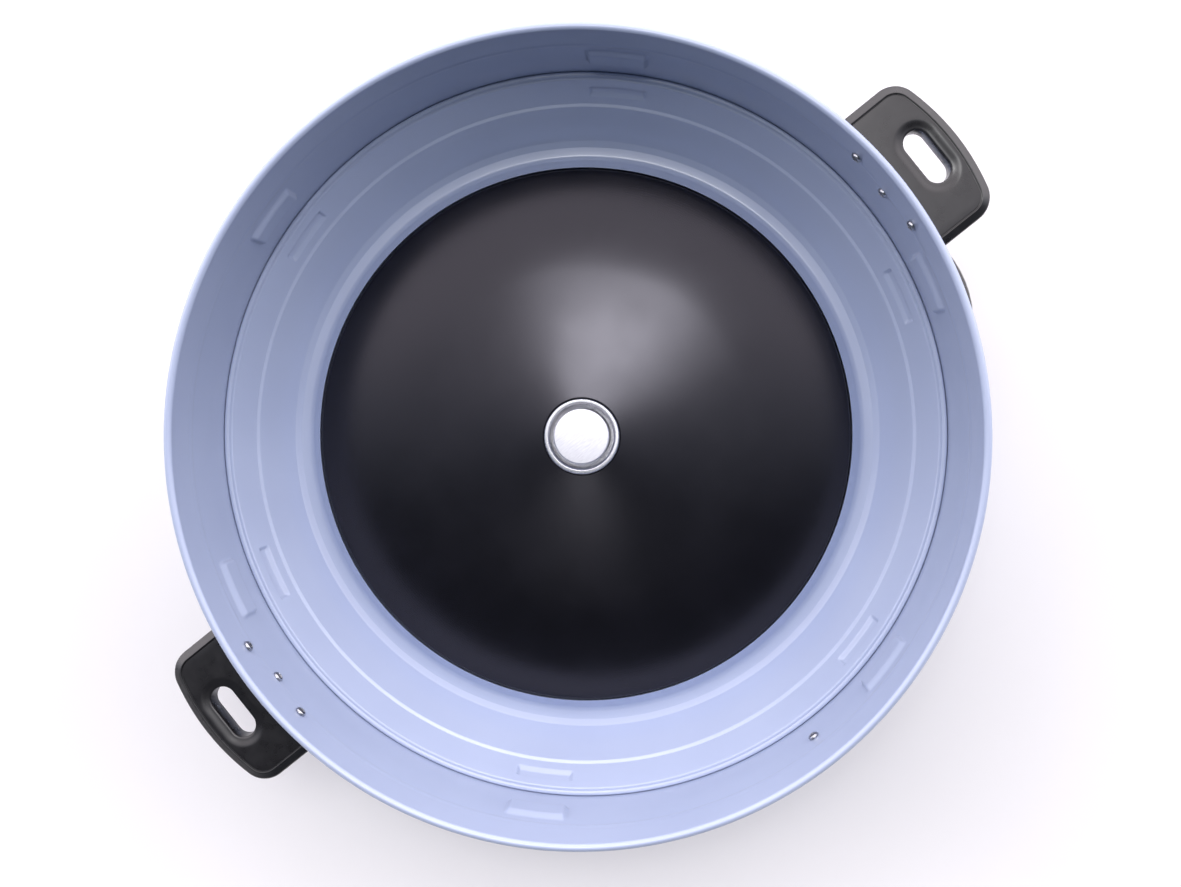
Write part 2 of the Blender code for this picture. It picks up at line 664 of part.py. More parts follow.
def build_handle(name, side):
    place = at_azimuth(side)
    low = HANDLE_TOP - HANDLE_THICK
    levels = [(2.0, low), (0.6, low + 0.6), (0.0, low + 2.0), (0.0, HANDLE_TOP - 2.0),
              (0.6, HANDLE_TOP - 0.6), (2.0, HANDLE_TOP)]
    grip = stacked(name, [handle_loop(inset, height) for inset, height in levels], "bakelite",
                   place)
    half = HANDLE_HALF - 0.5
    block_loops = []
    for inset, height in ((2.5, HANDLE_FOOT), (0.0, HANDLE_FOOT + 2.5), (0.0, HANDLE_TOP - 1.0)):
        block_loops.append([(205.0, -half + inset, height),
                            (HANDLE_BLOCK - 3.0 - inset, -half + inset, height),
                            (HANDLE_BLOCK - inset, -half + 3.0 + inset, height),
                            (HANDLE_BLOCK - inset, half - 3.0 - inset, height),
                            (HANDLE_BLOCK - 3.0 - inset, half - inset, height),
                            (205.0, half - inset, height)])
    combine(grip, [stacked(f"{name}_block", block_loops, None, place)], "UNION")
    cutters = [slot_cutter(f"{name}_slot", place),
               rod(f"{name}_drum", WALL_RADIUS + WALL + 0.6, 120.0, 200.0, None, sides=96)]
    for number, (azimuth, height) in enumerate(handle_screw_places(side)):
        cutters.append(screw_hole(f"{name}_hole_{number}", azimuth, height, 2.0))
    combine(grip, cutters)


def build_pan_screw(name, azimuth, height, tip):
    """Round-headed screw whose head lies inside the drum and whose tip points outward."""
    seat = WALL_RADIUS - 0.6
    section = [(0.0, seat - HEAD_HEIGHT), (1.6, seat - HEAD_HEIGHT), (2.7, seat - 1.0),
               (HEAD_RADIUS, seat - 0.3), (HEAD_RADIUS, seat), (SHANK_RADIUS, seat),
               (SHANK_RADIUS, tip), (0.0, tip)]
    turned(name, section, "bright_steel", even_angles(12),
           at_azimuth(azimuth, 0.0, height) @ LIE_OUTWARD)


def build_trim():
    """Blank front plate held by one screw, and the bushing for the cord at the rear."""
    loops = []
    for step in range(7):
        turn = math.radians(-98.0 + 16.0 * step / 6)
        loops.append([(radius * math.cos(turn), radius * math.sin(turn), height)
                      for radius, height in ((212.1, 128.5), (213.6, 128.5),
                                             (213.6, 150.5), (212.1, 150.5))])
    plate = stacked("front_plate", loops, "aluminium")
    combine(plate, [screw_hole("hole_front_plate", -90.0, TRIM_HEIGHT, 2.0)])
    build_pan_screw("front_screw", -90.0, TRIM_HEIGHT, 213.2)

    rear = at_azimuth(90.0, 0.0, GLAND_HEIGHT) @ LIE_OUTWARD
    section = [(4.0, 206.0), (7.5, 206.0), (7.5, 212.2), (11.0, 212.2), (11.0, 214.0),
               (9.5, 214.8), (4.0, 214.8)]
    turned("cord_gland", section, "rubber", even_angles(20), rear)
    low = PAN_TOP + GAP
    block("terminal_block", ((-20.0, 20.0), (140.0, 156.0), (low, low + 14.0)), "white_plastic")


def main():
    for leftover in list(bpy.data.objects):
        bpy.data.objects.remove(leftover)
    for name, (colour, metallic, roughness) in LOOKS.items():
        LOOK_MATERIALS[name] = surface(name, colour, metallic, roughness)
    build_outer_shell()
    build_liner()
    build_bottom()
    build_heating_plate()
    build_element()
    build_plate_supports()
    build_sensor()
    build_lever()
    build_switch()
    build_control_box()
    for name, side in (("handle_right", 0.0), ("handle_left", 180.0)):
        build_handle(name, side)
        for number, (azimuth, height) in enumerate(handle_screw_places(side), 1):
            build_pan_screw(f"{name}_screw_{number}", azimuth, height, 219.0)
    build_trim()


LOOK_MATERIALS = {}
main()
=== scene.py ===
"""Looks of the electric cooker body: an add-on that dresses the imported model, run as a script."""
import json
import math

import bmesh
import bpy
import numpy as np
from bpy.props import FloatProperty, FloatVectorProperty, PointerProperty
from mathutils import Matrix, Vector


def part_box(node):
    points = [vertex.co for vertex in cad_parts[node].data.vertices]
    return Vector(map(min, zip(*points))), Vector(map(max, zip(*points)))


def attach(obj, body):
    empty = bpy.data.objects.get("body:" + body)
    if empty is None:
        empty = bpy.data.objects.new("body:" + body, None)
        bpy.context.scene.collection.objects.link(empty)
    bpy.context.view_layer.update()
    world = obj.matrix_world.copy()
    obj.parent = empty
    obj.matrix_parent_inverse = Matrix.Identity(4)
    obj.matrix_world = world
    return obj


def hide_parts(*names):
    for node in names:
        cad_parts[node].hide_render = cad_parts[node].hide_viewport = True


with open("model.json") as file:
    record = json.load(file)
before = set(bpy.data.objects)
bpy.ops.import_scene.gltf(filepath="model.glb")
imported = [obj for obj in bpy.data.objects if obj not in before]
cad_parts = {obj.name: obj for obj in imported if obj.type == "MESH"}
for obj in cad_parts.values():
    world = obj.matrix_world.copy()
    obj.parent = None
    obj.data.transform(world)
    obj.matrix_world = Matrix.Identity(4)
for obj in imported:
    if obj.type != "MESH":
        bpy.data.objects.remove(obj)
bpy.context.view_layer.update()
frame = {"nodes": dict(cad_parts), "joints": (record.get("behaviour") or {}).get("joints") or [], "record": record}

bl_info = {
    "name": "Electric Cooker Body",
    "version": (1, 0, 0),
    "blender": (4, 5, 0),
    "location": "3D View > Sidebar > Cooker",
    "description": "Builds the visible surfaces and finishes of a round electric cooker body",
    "category": "Object",
}

MM = 0.001
HOUSING = "housing"
BEAD_HALF = 3.6  # half the height of the drum's fine bead
UPPER_LEDGE = 6.5  # height of the sloping ledge above the face of a drum pad
LOWER_LEDGE = 4.0  # and of the one below it
LINER_PAD_RADIUS = 201.0  # distance of the liner's pads from the axis
PAD_STEP = math.radians(60.0)  # between neighbouring pads
SLOT_HALF = 6.5  # half the width of the lever's slot in the drum
DISH_REACH = 5.7  # how far the dished surround of a grip's slot reaches
LIP_TOP = 76.3  # top of the liner's inner lip, beside the plate
LIP_TURN = 4.0  # how far the lip is turned down again
SOFTBOX_DISTANCE = 1.5  # metres from the softboxes to the point that they face
SOFTBOX_TARGET = 0.1  # height of that point over the floor, in metres


def node_span(node, axis):
    """Lowest and highest value of a CAD node along one axis, in millimetres."""
    low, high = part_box(node)
    return low[axis] / MM, high[axis] / MM


DRUM_FOOT, RIM_TOP = node_span("outer_shell", 2)
LINER_TOP = node_span("liner_pan", 2)[1]
PLATE_FOOT, PLATE_APEX = node_span("heating_plate", 2)
PLATE_RADIUS = node_span("heating_plate", 0)[1]
RING_TOP = node_span("sensor_ring", 2)[1]
RING_OUTER = node_span("sensor_ring", 0)[1]
CAP_TOP = node_span("sensor_cap", 2)[1]
GRIP_LOW, GRIP_TOP = node_span("handle_right", 2)
GRIP_REACH = node_span("handle_right", 0)[1]
GRIP_HALF = node_span("handle_right", 1)[1]


def box_azimuth():
    """Azimuth of the control box in degrees, from the axis of its lever's hinge."""
    hinge = next(joint for joint in frame["joints"] if joint["type"] == "hinge")
    return math.degrees(math.atan2(-hinge["axis"][0], hinge["axis"][1]))


BOX_AZIMUTH = box_azimuth()


# ---------------------------------------------------------------- colour
def linear(code):
    """Linear colour from an sRGB hex code such as #A0B0C0."""
    values = np.array([int(code[place:place + 2], 16) for place in (1, 3, 5)]) / 255.0
    low = values / 12.92
    high = ((values + 0.055) / 1.055) ** 2.4
    return tuple(float(value) for value in np.where(values <= 0.04045, low, high))


def colour_setting(name, description, code):
    """A colour in the panel, with its default given as a hex code."""
    return FloatVectorProperty(name=name, description=description, subtype="COLOR", size=3,
                               min=0.0, max=1.0, default=linear(code))


def length_setting(name, description, millimetres):
    """A length in the panel, in Blender's units, with its default in millimetres."""
    return FloatProperty(name=name, description=description, subtype="DISTANCE",
                         unit="LENGTH", precision=5, default=millimetres * MM)


# ---------------------------------------------------------------- settings
class DrumSettings(bpy.types.PropertyGroup):
    wall_radius: length_setting("Wall radius", "Inside radius of the drum wall", 210.7)
    sheet: length_setting("Sheet", "Thickness of the drum sheet", 1.0)
    roll: length_setting("Rim roll", "Radius of the rolled rim", 2.2)
    pad_centre: FloatProperty(name="First pad", description="Azimuth of the first pressed pad",
                              subtype="ANGLE", unit="ROTATION", default=math.radians(-14.8))
    pad_length: length_setting("Pad length", "Length of a pressed pad round the wall", 35.0)
    pad_top: length_setting("Pad top", "Top of the pads above the floor", 150.0)
    pad_bottom: length_setting("Pad bottom", "Foot of the pads above the floor", 126.0)
    pad_depth: length_setting("Pad depth", "How far a pad stands into the drum", 2.6)
    bead_drop: length_setting("Bead drop", "Distance of the fine bead below the rim", 28.5)
    bead_height: length_setting("Bead height", "How far the fine bead stands out", 0.35)


class LinerSettings(bpy.types.PropertyGroup):
    rim_radius: length_setting("Flange radius", "Outer radius of the liner flange", 210.4)
    lip_radius: length_setting("Lip radius", "Radius of the hole round the plate", 161.1)
    sheet: length_setting("Sheet", "Thickness of the liner sheet", 0.9)
    pad_length: length_setting("Pad length", "Length of a pad in the liner", 33.0)
    pad_top: length_setting("Pad top", "Sharp upper edge of the liner's pads", 101.4)
    pad_bottom: length_setting("Pad bottom", "Lower edge of the liner's pads", 95.4)
    pad_depth: length_setting("Pad depth", "How far a pad is pressed outward", 1.9)


class PlateSettings(bpy.types.PropertyGroup):
    hub_hole: length_setting("Hub hole", "Radius of the hole for the thermostat", 22.8)
    knee_radius: length_setting("Knee radius", "Radius where the plate falls faster", 98.0)
    knee_drop: length_setting("Knee drop", "Fall from the hub to the knee", 5.0)
    edge_drop: length_setting("Edge drop", "Fall from the hub to the edge", 13.4)
    thickness: length_setting("Thickness", "Thickness of the casting", 9.0)


class SensorSettings(bpy.types.PropertyGroup):
    ring_inner: length_setting("Ring bore", "Inner radius of the bright ring", 19.0)
    cap_radius: length_setting("Cap radius", "Radius of the sensor cap", 16.6)
    cap_crown: length_setting("Cap crown", "How much the cap's face is domed", 0.25)


class GripSettings(bpy.types.PropertyGroup):
    thickness: length_setting("Thickness", "Thickness of the grip", 13.0)
    corner: length_setting("Corner", "Radius of the outer corners", 14.0)
    bow: length_setting("Bow", "How far the outer edge bows out", 4.0)
    slot_centre: length_setting("Slot centre", "Distance of the slot from the drum axis", 235.5)
    slot_length: length_setting("Slot length", "Length of the slot", 31.0)
    slot_width: length_setting("Slot width", "Width of the slot", 13.5)
    border: length_setting("Border", "Width of the sloping border", 4.2)
    dish: length_setting("Dish", "Depth of the dished surround of the slot", 1.0)
    screw_spread: FloatProperty(name="Screw spread", subtype="ANGLE", unit="ROTATION",
                                description="Angle between neighbouring grip screws",
                                default=math.radians(6.26))


class FinishSettings(bpy.types.PropertyGroup):
    enamel: colour_setting("Powder coat", "Blue coat of the drum and the liner", "#ABB6CF")
    enamel_shade: colour_setting("Powder coat, thick", "Where the coat lies thicker", "#A6B1CB")
    casting: colour_setting("Plate coat", "Black coat of the heating plate", "#09090D")
    bakelite: colour_setting("Bakelite", "Moulded black phenolic", "#151416")
    rubber: colour_setting("Rubber", "Feet and cord bushing", "#1D1D1E")
    lamp_cook: colour_setting("Cook lamp", "Lens of the cooking lamp", "#B3221A")
    lamp_warm: colour_setting("Warm lamp", "Lens of the keep-warm lamp", "#D08A1E")


class StageSettings(bpy.types.PropertyGroup):
    lens: FloatProperty(name="Lens", description="Focal length in millimetres on a 36 mm frame",
                        default=38.1)
    height: length_setting("Camera height", "Height of the camera over the rim", 643.6)
    shift_right: length_setting("Camera right", "Camera offset to the right of the axis", 46.05)
    shift_up: length_setting("Camera up", "Camera offset to the top of the view", 19.55)
    roll: FloatProperty(name="Roll", description="Turn of the object in the view",
                        subtype="ANGLE", unit="ROTATION", default=math.radians(38.56))
    tilt_up: FloatProperty(name="Tilt up", subtype="ANGLE", unit="ROTATION",
                           description="Camera turned about its level axis", default=0.03213)
    tilt_side: FloatProperty(name="Tilt sideways", subtype="ANGLE", unit="ROTATION",
                             description="Camera turned about its upright axis", default=0.05519)
    top_light: FloatProperty(name="Top light", description="Power of the softbox overhead",
                             subtype="POWER", unit="POWER", default=4.0)
    back_light: FloatProperty(name="Back light", description="Power of the small rear softbox",
                              subtype="POWER", unit="POWER", default=0.25)
    bright_side: FloatProperty(name="Bright side", default=3.0,
                               description="Radiance of the lit half of the room")
    dim_side: FloatProperty(name="Dim side", default=0.15,
                            description="Radiance of the unlit half of the room")
    overhead: FloatProperty(name="Overhead", default=0.56,
                            description="Share of the room's light that comes from overhead")
    side_turn: FloatProperty(name="Side turn", subtype="ANGLE", unit="ROTATION",
                             description="Turn of the lit half from the top of the view",
                             default=0.0)


SETTINGS = {
    "cooker_drum": DrumSettings,
    "cooker_liner": LinerSettings,
    "cooker_plate": PlateSettings,
    "cooker_sensor": SensorSettings,
    "cooker_grip": GripSettings,
    "cooker_finish": FinishSettings,
    "cooker_stage": StageSettings,
}


# ---------------------------------------------------------------- nodes and finishes
def add_node(tree, kind, inputs=None, **settings):
    """Add one node; an input that is a socket is linked, and any other value is set."""
    node = tree.nodes.new(kind)
    for name, value in settings.items():
        setattr(node, name, value)
    for name, value in (inputs or {}).items():
        if isinstance(value, bpy.types.NodeSocket):
            tree.links.new(value, node.inputs[name])
        else:
            node.inputs[name].default_value = value
    return node


def per_mm(millimetres):
    """Texture scale whose features are this many millimetres across on Object coordinates."""
    return 1.0 / (millimetres * MM)


def start_finish(name):
    """A material with its shader and output; returns the material, its tree and its shader."""
    material = bpy.data.materials.new(name)
    material.use_nodes = True
    tree = material.node_tree
    tree.nodes.clear()
    shader = add_node(tree, "ShaderNodeBsdfPrincipled")
    add_node(tree, "ShaderNodeOutputMaterial", {"Surface": shader.outputs["BSDF"]})
    return material, tree, shader


def mixed_colour(tree, factor, first, second):
    """Colour that runs from one constant to another with a factor."""
    mix = add_node(tree, "ShaderNodeMix", {0: factor}, data_type="RGBA")
    mix.inputs[6].default_value = (*first, 1.0)
    mix.inputs[7].default_value = (*second, 1.0)
    return mix.outputs[2]


def ranged(tree, value, low, high, start=0.3, end=0.7):
    """Map a noise value from its usual start and end to low and high."""
    inputs = {"Value": value, "From Min": start, "From Max": end, "To Min": low, "To Max": high}
    return add_node(tree, "ShaderNodeMapRange", inputs).outputs["Result"]


def noise(tree, vector, size_mm, detail=2.0, roughness=0.5):
    """Noise whose lumps have a real size."""
    inputs = {"Vector": vector, "Scale": per_mm(size_mm), "Detail": detail,
              "Roughness": roughness}
    return add_node(tree, "ShaderNodeTexNoise", inputs).outputs["Fac"]


def bump(tree, shader, height, distance_mm, strength=1.0):
    """Bump the shader's normal by a height that spans a real distance."""
    inputs = {"Height": height, "Distance": distance_mm * MM, "Strength": strength}
    node = add_node(tree, "ShaderNodeBump", inputs)
    tree.links.new(node.outputs["Normal"], shader.inputs["Normal"])


def object_place(tree):
    """Object coordinates of the shaded point."""
    return add_node(tree, "ShaderNodeTexCoord").outputs["Object"]


def distance_from_axis(tree, place):
    """Distance of the shaded point from the drum's axis."""
    flat = add_node(tree, "ShaderNodeVectorMath", {0: place, 1: (1.0, 1.0, 0.0)},
                    operation="MULTIPLY").outputs["Vector"]
    return add_node(tree, "ShaderNodeVectorMath", {0: flat}, operation="LENGTH").outputs["Value"]


def powder_coated_steel(finish):
    """Powder coat baked on sheet steel: even gloss with a faint orange peel."""
    material, tree, shader = start_finish("powder_coated_steel")
    place = object_place(tree)
    drift = noise(tree, place, 70.0, detail=1.0)
    tree.links.new(mixed_colour(tree, ranged(tree, drift, 0.0, 1.0), tuple(finish.enamel),
                                tuple(finish.enamel_shade)), shader.inputs["Base Color"])
    peel = noise(tree, place, 1.8, detail=1.0)
    tree.links.new(ranged(tree, noise(tree, place, 24.0), 0.3, 0.38),
                   shader.inputs["Roughness"])
    shader.inputs["IOR"].default_value = 1.5
    shader.inputs["Coat Weight"].default_value = 0.55
    shader.inputs["Coat Roughness"].default_value = 0.16
    bump(tree, shader, peel, 0.03, 0.35)
    return material


def coated_cast_aluminium(finish):
    """Non-stick black coat sprayed on a turned casting: satin, fine grit, faint turning marks."""
    material, tree, shader = start_finish("coated_cast_aluminium")
    place = object_place(tree)
    speck = noise(tree, place, 0.7, detail=3.0, roughness=0.6)
    cloud = noise(tree, place, 34.0, detail=3.0)
    base = tuple(finish.casting)
    lighter = tuple(1.5 * value for value in base)
    tree.links.new(mixed_colour(tree, ranged(tree, cloud, 0.0, 0.7), base, lighter),
                   shader.inputs["Base Color"])
    tree.links.new(ranged(tree, cloud, 0.19, 0.23), shader.inputs["Roughness"])
    shader.inputs["IOR"].default_value = 1.5
    shader.inputs["Specular Tint"].default_value = (*linear("#F3F0FF"), 1.0)
    turns = add_node(tree, "ShaderNodeMath", {0: distance_from_axis(tree, place),
                                              1: 2.0 * math.pi * per_mm(1.4)},
                     operation="MULTIPLY").outputs["Value"]
    wave = add_node(tree, "ShaderNodeMath", {0: turns}, operation="SINE").outputs["Value"]
    height = add_node(tree, "ShaderNodeMath", {0: wave, 1: 0.12, 2: speck},
                      operation="MULTIPLY_ADD").outputs["Value"]
    bump(tree, shader, height, 0.02, 0.5)
    return material


def moulded_bakelite(finish):
    """Compression-moulded phenolic: near black, half gloss, slightly cloudy skin."""
    material, tree, shader = start_finish("moulded_bakelite")
    place = object_place(tree)
    cloud = noise(tree, place, 6.0, detail=3.0)
    base = tuple(finish.bakelite)
    tree.links.new(mixed_colour(tree, ranged(tree, cloud, 0.0, 0.5), base,
                                tuple(1.7 * value for value in base)),
                   shader.inputs["Base Color"])
    tree.links.new(ranged(tree, cloud, 0.26, 0.33), shader.inputs["Roughness"])
    shader.inputs["IOR"].default_value = 1.6
    bump(tree, shader, noise(tree, place, 1.2), 0.02, 0.3)
    return material


def turned_bright_steel():
    """Stainless ring faced on a lathe: fine rings round the axis, bright."""
    material, tree, shader = start_finish("turned_bright_steel")
    place = object_place(tree)
    base = linear("#CFCFD2")
    cloud = noise(tree, place, 5.0)
    tree.links.new(mixed_colour(tree, ranged(tree, cloud, 0.0, 1.0), base, linear("#BDBDC1")),
                   shader.inputs["Base Color"])
    shader.inputs["Metallic"].default_value = 1.0
    shader.inputs["Anisotropic"].default_value = 0.5
    tree.links.new(ranged(tree, cloud, 0.2, 0.28), shader.inputs["Roughness"])
    # lathe rings are 0.05 mm apart on the real part and are drawn 0.5 mm apart to show
    turns = add_node(tree, "ShaderNodeMath", {0: distance_from_axis(tree, place),
                                              1: 2.0 * math.pi * per_mm(0.5)},
                     operation="MULTIPLY").outputs["Value"]
    wave = add_node(tree, "ShaderNodeMath", {0: turns}, operation="SINE").outputs["Value"]
    bump(tree, shader, wave, 0.008, 0.25)
    return material


def brushed_aluminium():
    """Aluminium linished on a belt: short straight scratches one way, pale and diffuse."""
    material, tree, shader = start_finish("brushed_aluminium")
    place = object_place(tree)
    stretched = add_node(tree, "ShaderNodeMapping", {"Vector": place, "Rotation": (0.0, 0.0, 0.6),
                                                     "Scale": (1.0, 14.0, 1.0)})
    # belt scratches are 0.1 mm wide on the real part and are drawn 0.4 mm wide to show
    scratch = noise(tree, stretched.outputs["Vector"], 5.6, detail=3.0, roughness=0.65)
    tree.links.new(mixed_colour(tree, ranged(tree, scratch, 0.0, 1.0), linear("#E4E4E9"),
                                linear("#C9C9D0")), shader.inputs["Base Color"])
    shader.inputs["Metallic"].default_value = 1.0
    tree.links.new(ranged(tree, scratch, 0.36, 0.5), shader.inputs["Roughness"])
    bump(tree, shader, scratch, 0.02, 0.3)
    return material


def zinc_plated_steel():
    """Bright zinc plate on pressed steel: cool grey metal with small stains."""
    material, tree, shader = start_finish("zinc_plated_steel")
    place = object_place(tree)
    stain = noise(tree, place, 1.5, detail=2.0)
    tree.links.new(mixed_colour(tree, ranged(tree, stain, 0.0, 1.0), linear("#C4C5C9"),
                                linear("#A2A3A8")), shader.inputs["Base Color"])
    shader.inputs["Metallic"].default_value = 1.0
    tree.links.new(ranged(tree, stain, 0.22, 0.36), shader.inputs["Roughness"])
    bump(tree, shader, stain, 0.01, 0.3)
    return material


def galvanised_sheet():
    """Hot-dip galvanised sheet: angular spangle about 9 mm across, each grain a little different."""
    material, tree, shader = start_finish("galvanised_sheet")
    place = object_place(tree)
    grain = add_node(tree, "ShaderNodeTexVoronoi", {"Vector": place, "Scale": per_mm(9.0)},
                     feature="F1").outputs["Color"]
    tone = add_node(tree, "ShaderNodeSeparateColor", {"Color": grain}).outputs["Red"]
    tree.links.new(mixed_colour(tree, tone, linear("#BFC2C6"), linear("#A3A6AB")),
                   shader.inputs["Base Color"])
    shader.inputs["Metallic"].default_value = 1.0
    tree.links.new(ranged(tree, tone, 0.38, 0.52, 0.0, 1.0), shader.inputs["Roughness"])
    bump(tree, shader, noise(tree, place, 2.0), 0.02, 0.2)
    return material


def moulded_rubber(finish):
    """Black nitrile rubber from a blasted mould: dull, with a fine even grain."""
    material, tree, shader = start_finish("moulded_rubber")
    place = object_place(tree)
    grain = noise(tree, place, 0.8, detail=2.0)
    base = tuple(finish.rubber)
    tree.links.new(mixed_colour(tree, ranged(tree, grain, 0.0, 1.0), base,
                                tuple(1.6 * value for value in base)),
                   shader.inputs["Base Color"])
    tree.links.new(ranged(tree, grain, 0.7, 0.85), shader.inputs["Roughness"])
    bump(tree, shader, grain, 0.05, 0.4)
    return material


def tinted_lens(name, colour):
    """Moulded translucent lamp lens: deep colour under a smooth gloss, slightly streaked."""
    material, tree, shader = start_finish(name)
    place = object_place(tree)
    streak = noise(tree, place, 2.5)
    tree.links.new(mixed_colour(tree, ranged(tree, streak, 0.0, 1.0), colour,
                                tuple(0.7 * value for value in colour)),
                   shader.inputs["Base Color"])
    tree.links.new(ranged(tree, streak, 0.1, 0.18), shader.inputs["Roughness"])
    shader.inputs["IOR"].default_value = 1.49
    shader.inputs["Coat Weight"].default_value = 0.5
    return material


def sintered_ferrite():
    """Sintered ferrite and magnet: dark grey ceramic with visible grains."""
    material, tree, shader = start_finish("sintered_ferrite")
    grain = noise(tree, object_place(tree), 0.6, detail=3.0)
    tree.links.new(mixed_colour(tree, ranged(tree, grain, 0.0, 1.0), linear("#3A3A3C"),
                                linear("#565659")), shader.inputs["Base Color"])
    tree.links.new(ranged(tree, grain, 0.5, 0.65), shader.inputs["Roughness"])
    bump(tree, shader, grain, 0.03, 0.4)
    return material


def moulded_nylon():
    """White nylon from a textured mould: soft sheen, warm white."""
    material, tree, shader = start_finish("moulded_nylon")
    grain = noise(tree, object_place(tree), 1.0, detail=2.0)
    tree.links.new(mixed_colour(tree, ranged(tree, grain, 0.0, 1.0), linear("#E4E1D9"),
                                linear("#D6D2C8")), shader.inputs["Base Color"])
    tree.links.new(ranged(tree, grain, 0.42, 0.52), shader.inputs["Roughness"])
    bump(tree, shader, grain, 0.02, 0.3)
    return material


FINISHES = {}


class OBJECT_OT_cooker_finishes(bpy.types.Operator):
    """Make each finish once, under the record's slot that it serves"""
    bl_idname = "object.cooker_finishes"
    bl_label = "Finishes"

    def execute(self, context):
        finish = context.scene.cooker_finish
        FINISHES.update({
            "blue_enamel": powder_coated_steel(finish),
            "black_cast": coated_cast_aluminium(finish),
            "bakelite": moulded_bakelite(finish),
            "bright_steel": zinc_plated_steel(),
            "turned_steel": turned_bright_steel(),
            "aluminium": brushed_aluminium(),
            "zinc_sheet": galvanised_sheet(),
            "ferrite": sintered_ferrite(),
            "rubber": moulded_rubber(finish),
            "red_lens": tinted_lens("tinted_lens_red", tuple(finish.lamp_cook)),
            "amber_lens": tinted_lens("tinted_lens_amber", tuple(finish.lamp_warm)),
            "white_plastic": moulded_nylon(),
        })
        return {"FINISHED"}


# ---------------------------------------------------------------- surfaces
def smooth_step(value):
    """3t^2 - 2t^3 with t held between 0 and 1."""
    held = np.clip(value, 0.0, 1.0)
    return held * held * (3.0 - 2.0 * held)


def rounded(corners, steps=8):
    """Path through (x, y, radius) corners, each rounded by an arc of that radius."""
    points = np.array([corner[:2] for corner in corners], dtype=float)
    path = [points[:1]]
    for index in range(1, len(points) - 1):
        radius = corners[index][2]
        here = points[index]
        if radius == 0.0:
            path.append(here[None])
            continue
        back = points[index - 1] - here
        ahead = points[index + 1] - here
        back /= np.linalg.norm(back)
        ahead /= np.linalg.norm(ahead)
        half = 0.5 * math.acos(float(np.clip(back @ ahead, -1.0, 1.0)))
        middle = (back + ahead) / np.linalg.norm(back + ahead)
        centre = here + middle * radius / math.sin(half)
        spokes = [here + side * radius / math.tan(half) - centre for side in (back, ahead)]
        first, last = (math.atan2(spoke[1], spoke[0]) for spoke in spokes)
        sweep = (last - first + math.pi) % (2.0 * math.pi) - math.pi
        turn = first + sweep * np.linspace(0.0, 1.0, steps + 1)
        path.append(centre + radius * np.column_stack((np.cos(turn), np.sin(turn))))
    path.append(points[-1:])
    return np.vstack(path)


def densified(path, spacing, low, high):
    """Add even points where the path's second value lies between two limits."""
    pieces = [path[:1]]
    for start, end in zip(path[:-1], path[1:]):
        inside = max(start[1], end[1]) > low and min(start[1], end[1]) < high
        count = max(1, math.ceil(np.linalg.norm(end - start) / spacing)) if inside else 1
        share = np.linspace(0.0, 1.0, count + 1)[1:, None]
        pieces.append(start + share * (end - start))
    return np.vstack(pieces)


def beside(path, thickness):
    """The path moved to its left by a thickness, along mitred normals."""
    runs = np.diff(path, axis=0)
    runs /= np.linalg.norm(runs, axis=1)[:, None]
    sides = np.column_stack((-runs[:, 1], runs[:, 0]))
    first = np.vstack((sides[:1], sides))
    second = np.vstack((sides, sides[-1:]))
    mitre = (first + second) / (1.0 + np.sum(first * second, axis=1))[:, None]
    return path + thickness * mitre


def even_turn(count):
    """Azimuths in radians, evenly round the circle."""
    return np.linspace(0.0, 2.0 * math.pi, count, endpoint=False)


def swept(profile, azimuths):
    """Surface of revolution: point(i, j) = (r_j cos a_i, r_j sin a_i, z_j)."""
    radius, height = profile[:, 0], profile[:, 1]
    return np.stack((np.outer(np.cos(azimuths), radius), np.outer(np.sin(azimuths), radius),
                     np.broadcast_to(height, (len(azimuths), len(height)))), axis=-1)


def turned_by(azimuth, height=0.0, radius=0.0, lie=None):
    """Placing matrix: +X points outward at the azimuth; lie turns +Z 'out' or 'in'."""
    place = Matrix.Rotation(azimuth, 4, "Z") @ Matrix.Translation((radius, 0.0, height))
    if lie == "out":
        place = place @ Matrix.Rotation(math.radians(90.0), 4, "Y")
    if lie == "in":
        place = place @ Matrix.Rotation(math.radians(-90.0), 4, "Y")
    return place


def placed(points, place):
    """Grid points in millimetres carried by a placing matrix whose shift is in millimetres."""
    turn = np.array(place)[:3, :3]
    return points @ turn.T + np.array(place)[:3, 3]


def grid_faces(rows, columns, wrap_rows, wrap_columns):
    """Quads of a grid, row by row, joined round where it wraps."""
    index = np.arange(rows * columns).reshape(rows, columns)
    if wrap_rows:
        index = np.vstack((index, index[:1]))
    if wrap_columns:
        index = np.hstack((index, index[:, :1]))
    return np.stack((index[:-1, :-1], index[1:, :-1], index[1:, 1:], index[:-1, 1:]),
                    axis=-1).reshape(-1, 4)


